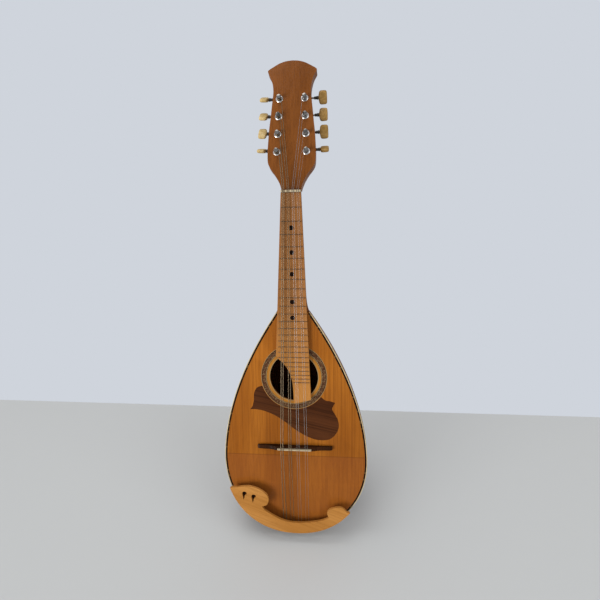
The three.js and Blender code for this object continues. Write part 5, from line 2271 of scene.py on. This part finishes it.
@dataclass
class Studio:
    """The camera, the floor, the pale surround and the lamps."""

    place: Vector = field(default_factory=lambda: Vector((0.065, -0.574, -0.0686)))
    lens: float = 25.92
    sensor: float = 36.0
    clip: float = 0.01
    roll: float = math.radians(-0.72)
    pitch: float = math.radians(7.6)
    yaw: float = math.radians(5.58)
    floor_tilt: float = math.radians(19)
    floor_edge_pixels: tuple[Point, Point] = ((76, 402), (524, 415))
    floor_colour: str = "#c4c5c4"
    surround_colour: str = "#cfd4dc"
    soft_colour: tuple[float, ...] = (0.95, 0.97, 1.0, 1.0)
    soft_strength: float = 0.55
    floor_size: Point = (1.9, 0.8)
    floor_roughness: float = 0.75
    speckle_scale: Point3 = (40, 40, 40)
    speckle_share: float = 0.15
    speckle_tone: float = 0.94
    floor_gap: float = 0.0005
    lamp_target: Point3 = (0, 0, -0.2)
    lamps: tuple[tuple[str, Point3, float, float], ...] = (
        ("key_lamp", (-2.4, -2.3, -0.75), 1.9, 115.0), ("fill_lamp", (1.3, -1.1, 0.35), 1.2, 7.0),
        ("top_lamp", (-0.3, -0.4, 1.5), 1.0, 9.0), ("back_lamp", (0.4, 1.4, 0.5), 1.2, 3.0))

    def view_axes(self) -> Matrix:
        """Gives the camera's right, down and forward directions as rows.

        Returns:
            The three directions as rows.
        """
        level = Matrix(((1, 0, 0), (0, 0, -1), (0, 1, 0)))
        return (
            Matrix.Rotation(self.roll, 3, "Z") @ Matrix.Rotation(self.pitch, 3, "X")
            @ Matrix.Rotation(self.yaw, 3, "Y") @ level)

    def build(self) -> None:
        """Sets the camera, floor, surround and lamps."""
        bpy.context.scene.view_settings.view_transform = "Standard"
        self.set_camera()
        self.lay_floor()
        self.set_surround()
        for lamp in self.lamps:
            self.hang_lamp(*lamp)

    def set_camera(self) -> None:
        """Stands the camera where the photograph was taken."""
        right, down, forward = self.view_axes()
        lens = bpy.data.cameras.new("camera")
        lens.lens = self.lens
        lens.sensor_width = self.sensor
        lens.clip_start = self.clip
        camera = bpy.data.objects.new("camera", lens)
        camera.matrix_world = Matrix.Translation(self.place) @ Matrix(
            (right, -down, -forward)).transposed().to_4x4()
        bpy.context.scene.collection.objects.link(camera)
        bpy.context.scene.camera = camera

    def lay_floor(self) -> None:
        """Lays the pale floor under the tail, its far edge where the photograph has it."""
        normal = Vector((0, -math.sin(self.floor_tilt), math.cos(self.floor_tilt)))
        lowest = min(
            normal.dot(vertex.co)
            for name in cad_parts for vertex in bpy.data.objects[name].data.vertices)
        level = lowest - self.floor_gap
        focal = PHOTO_SIDE * self.lens / self.sensor
        edge = []
        for column, row in self.floor_edge_pixels:
            ray = Vector(((column - PHOTO_SIDE / 2) / focal, (row - PHOTO_SIDE / 2) / focal, 1))
            direction = self.view_axes().transposed() @ ray
            reach = (level - normal.dot(self.place)) / normal.dot(direction)
            edge.append(self.place + direction * reach)
        along = (edge[1] - edge[0]).normalized()
        near = along.cross(normal).normalized()
        middle_of_edge = (edge[0] + edge[1]) / 2
        width, depth = self.floor_size

        def place(u: float, v: float) -> Vector:
            """Gives a floor point, from its far edge at v = 0."""
            return middle_of_edge + along * width * (u - 0.5) + near * depth * v

        floor = shaped_grid("studio_floor", 4, 4, place)
        paint = Paint("studio_floor")
        speckle = paint.noise(paint.object_place(), self.speckle_scale, 2)
        darker = tint(self.floor_colour, self.speckle_tone)
        colour = paint.mix(speckle * self.speckle_share, tint(self.floor_colour), darker)
        floor.data.materials.append(paint.dress(colour, self.floor_roughness))

    def set_surround(self) -> None:
        """Sets a surround that looks pale and lights the object softly."""
        world = bpy.data.worlds.new("surround")
        world.use_nodes = True
        bpy.context.scene.world = world
        world.node_tree.nodes.clear()
        work = NodeWork(world.node_tree)
        rays = work.node("ShaderNodeLightPath").outputs
        either = {"operation": "MAXIMUM"}
        seen = work.node("ShaderNodeMath", either, {0: rays["Is Camera Ray"], 1: rays["Is Glossy Ray"]})
        shown_to = work.node("ShaderNodeMath", either, {0: seen.outputs[0], 1: rays["Is Transmission Ray"]})
        soft = work.node(
            "ShaderNodeBackground", None, {"Color": self.soft_colour, "Strength": self.soft_strength})
        shown = work.node("ShaderNodeBackground", None, {"Color": tint(self.surround_colour)})
        blend = work.node(
            "ShaderNodeMixShader", None, {0: shown_to.outputs[0], 1: soft.outputs[0], 2: shown.outputs[0]})
        work.node("ShaderNodeOutputWorld", None, {"Surface": blend.outputs[0]})

    def hang_lamp(self, name: str, place: Point3, size: float, power: float) -> None:
        """Hangs a soft square lamp that looks at the middle of the object.

        Args:
            name: The lamp's name.
            place: Its place, seen from what it looks at.
            size: Its side.
            power: Its power in watts.
        """
        lamp = bpy.data.lights.new(name, "AREA")
        lamp.size = size
        lamp.energy = power
        target = Vector(self.lamp_target)
        obj = bpy.data.objects.new(name, lamp)
        spot = Vector(place) + target
        aim = (target - spot).to_track_quat("-Z", "Y").to_matrix().to_4x4()
        obj.matrix_world = Matrix.Translation(spot) @ aim
        bpy.context.scene.collection.objects.link(obj)


def main() -> None:
    """Builds the mandolin, sub-assembly by sub-assembly."""
    logging.basicConfig(level=logging.INFO, format="%(message)s")
    Studio().build()
    for assembly in (
        Bowl(), Soundboard(), Neck(), FINGERBOARD, Headstock(), TunerWork(), Bridge(), Tailpiece(), Armrest(),
        StringSet(),
    ):
        log.info("building %s", type(assembly).__name__)
        assembly.build()
    for node in ("neck_block", "tail_block", "brace_upper", "brace_lower"):
        refinish(node, INNER_WOOD)


if __name__ == "__main__":
    main()
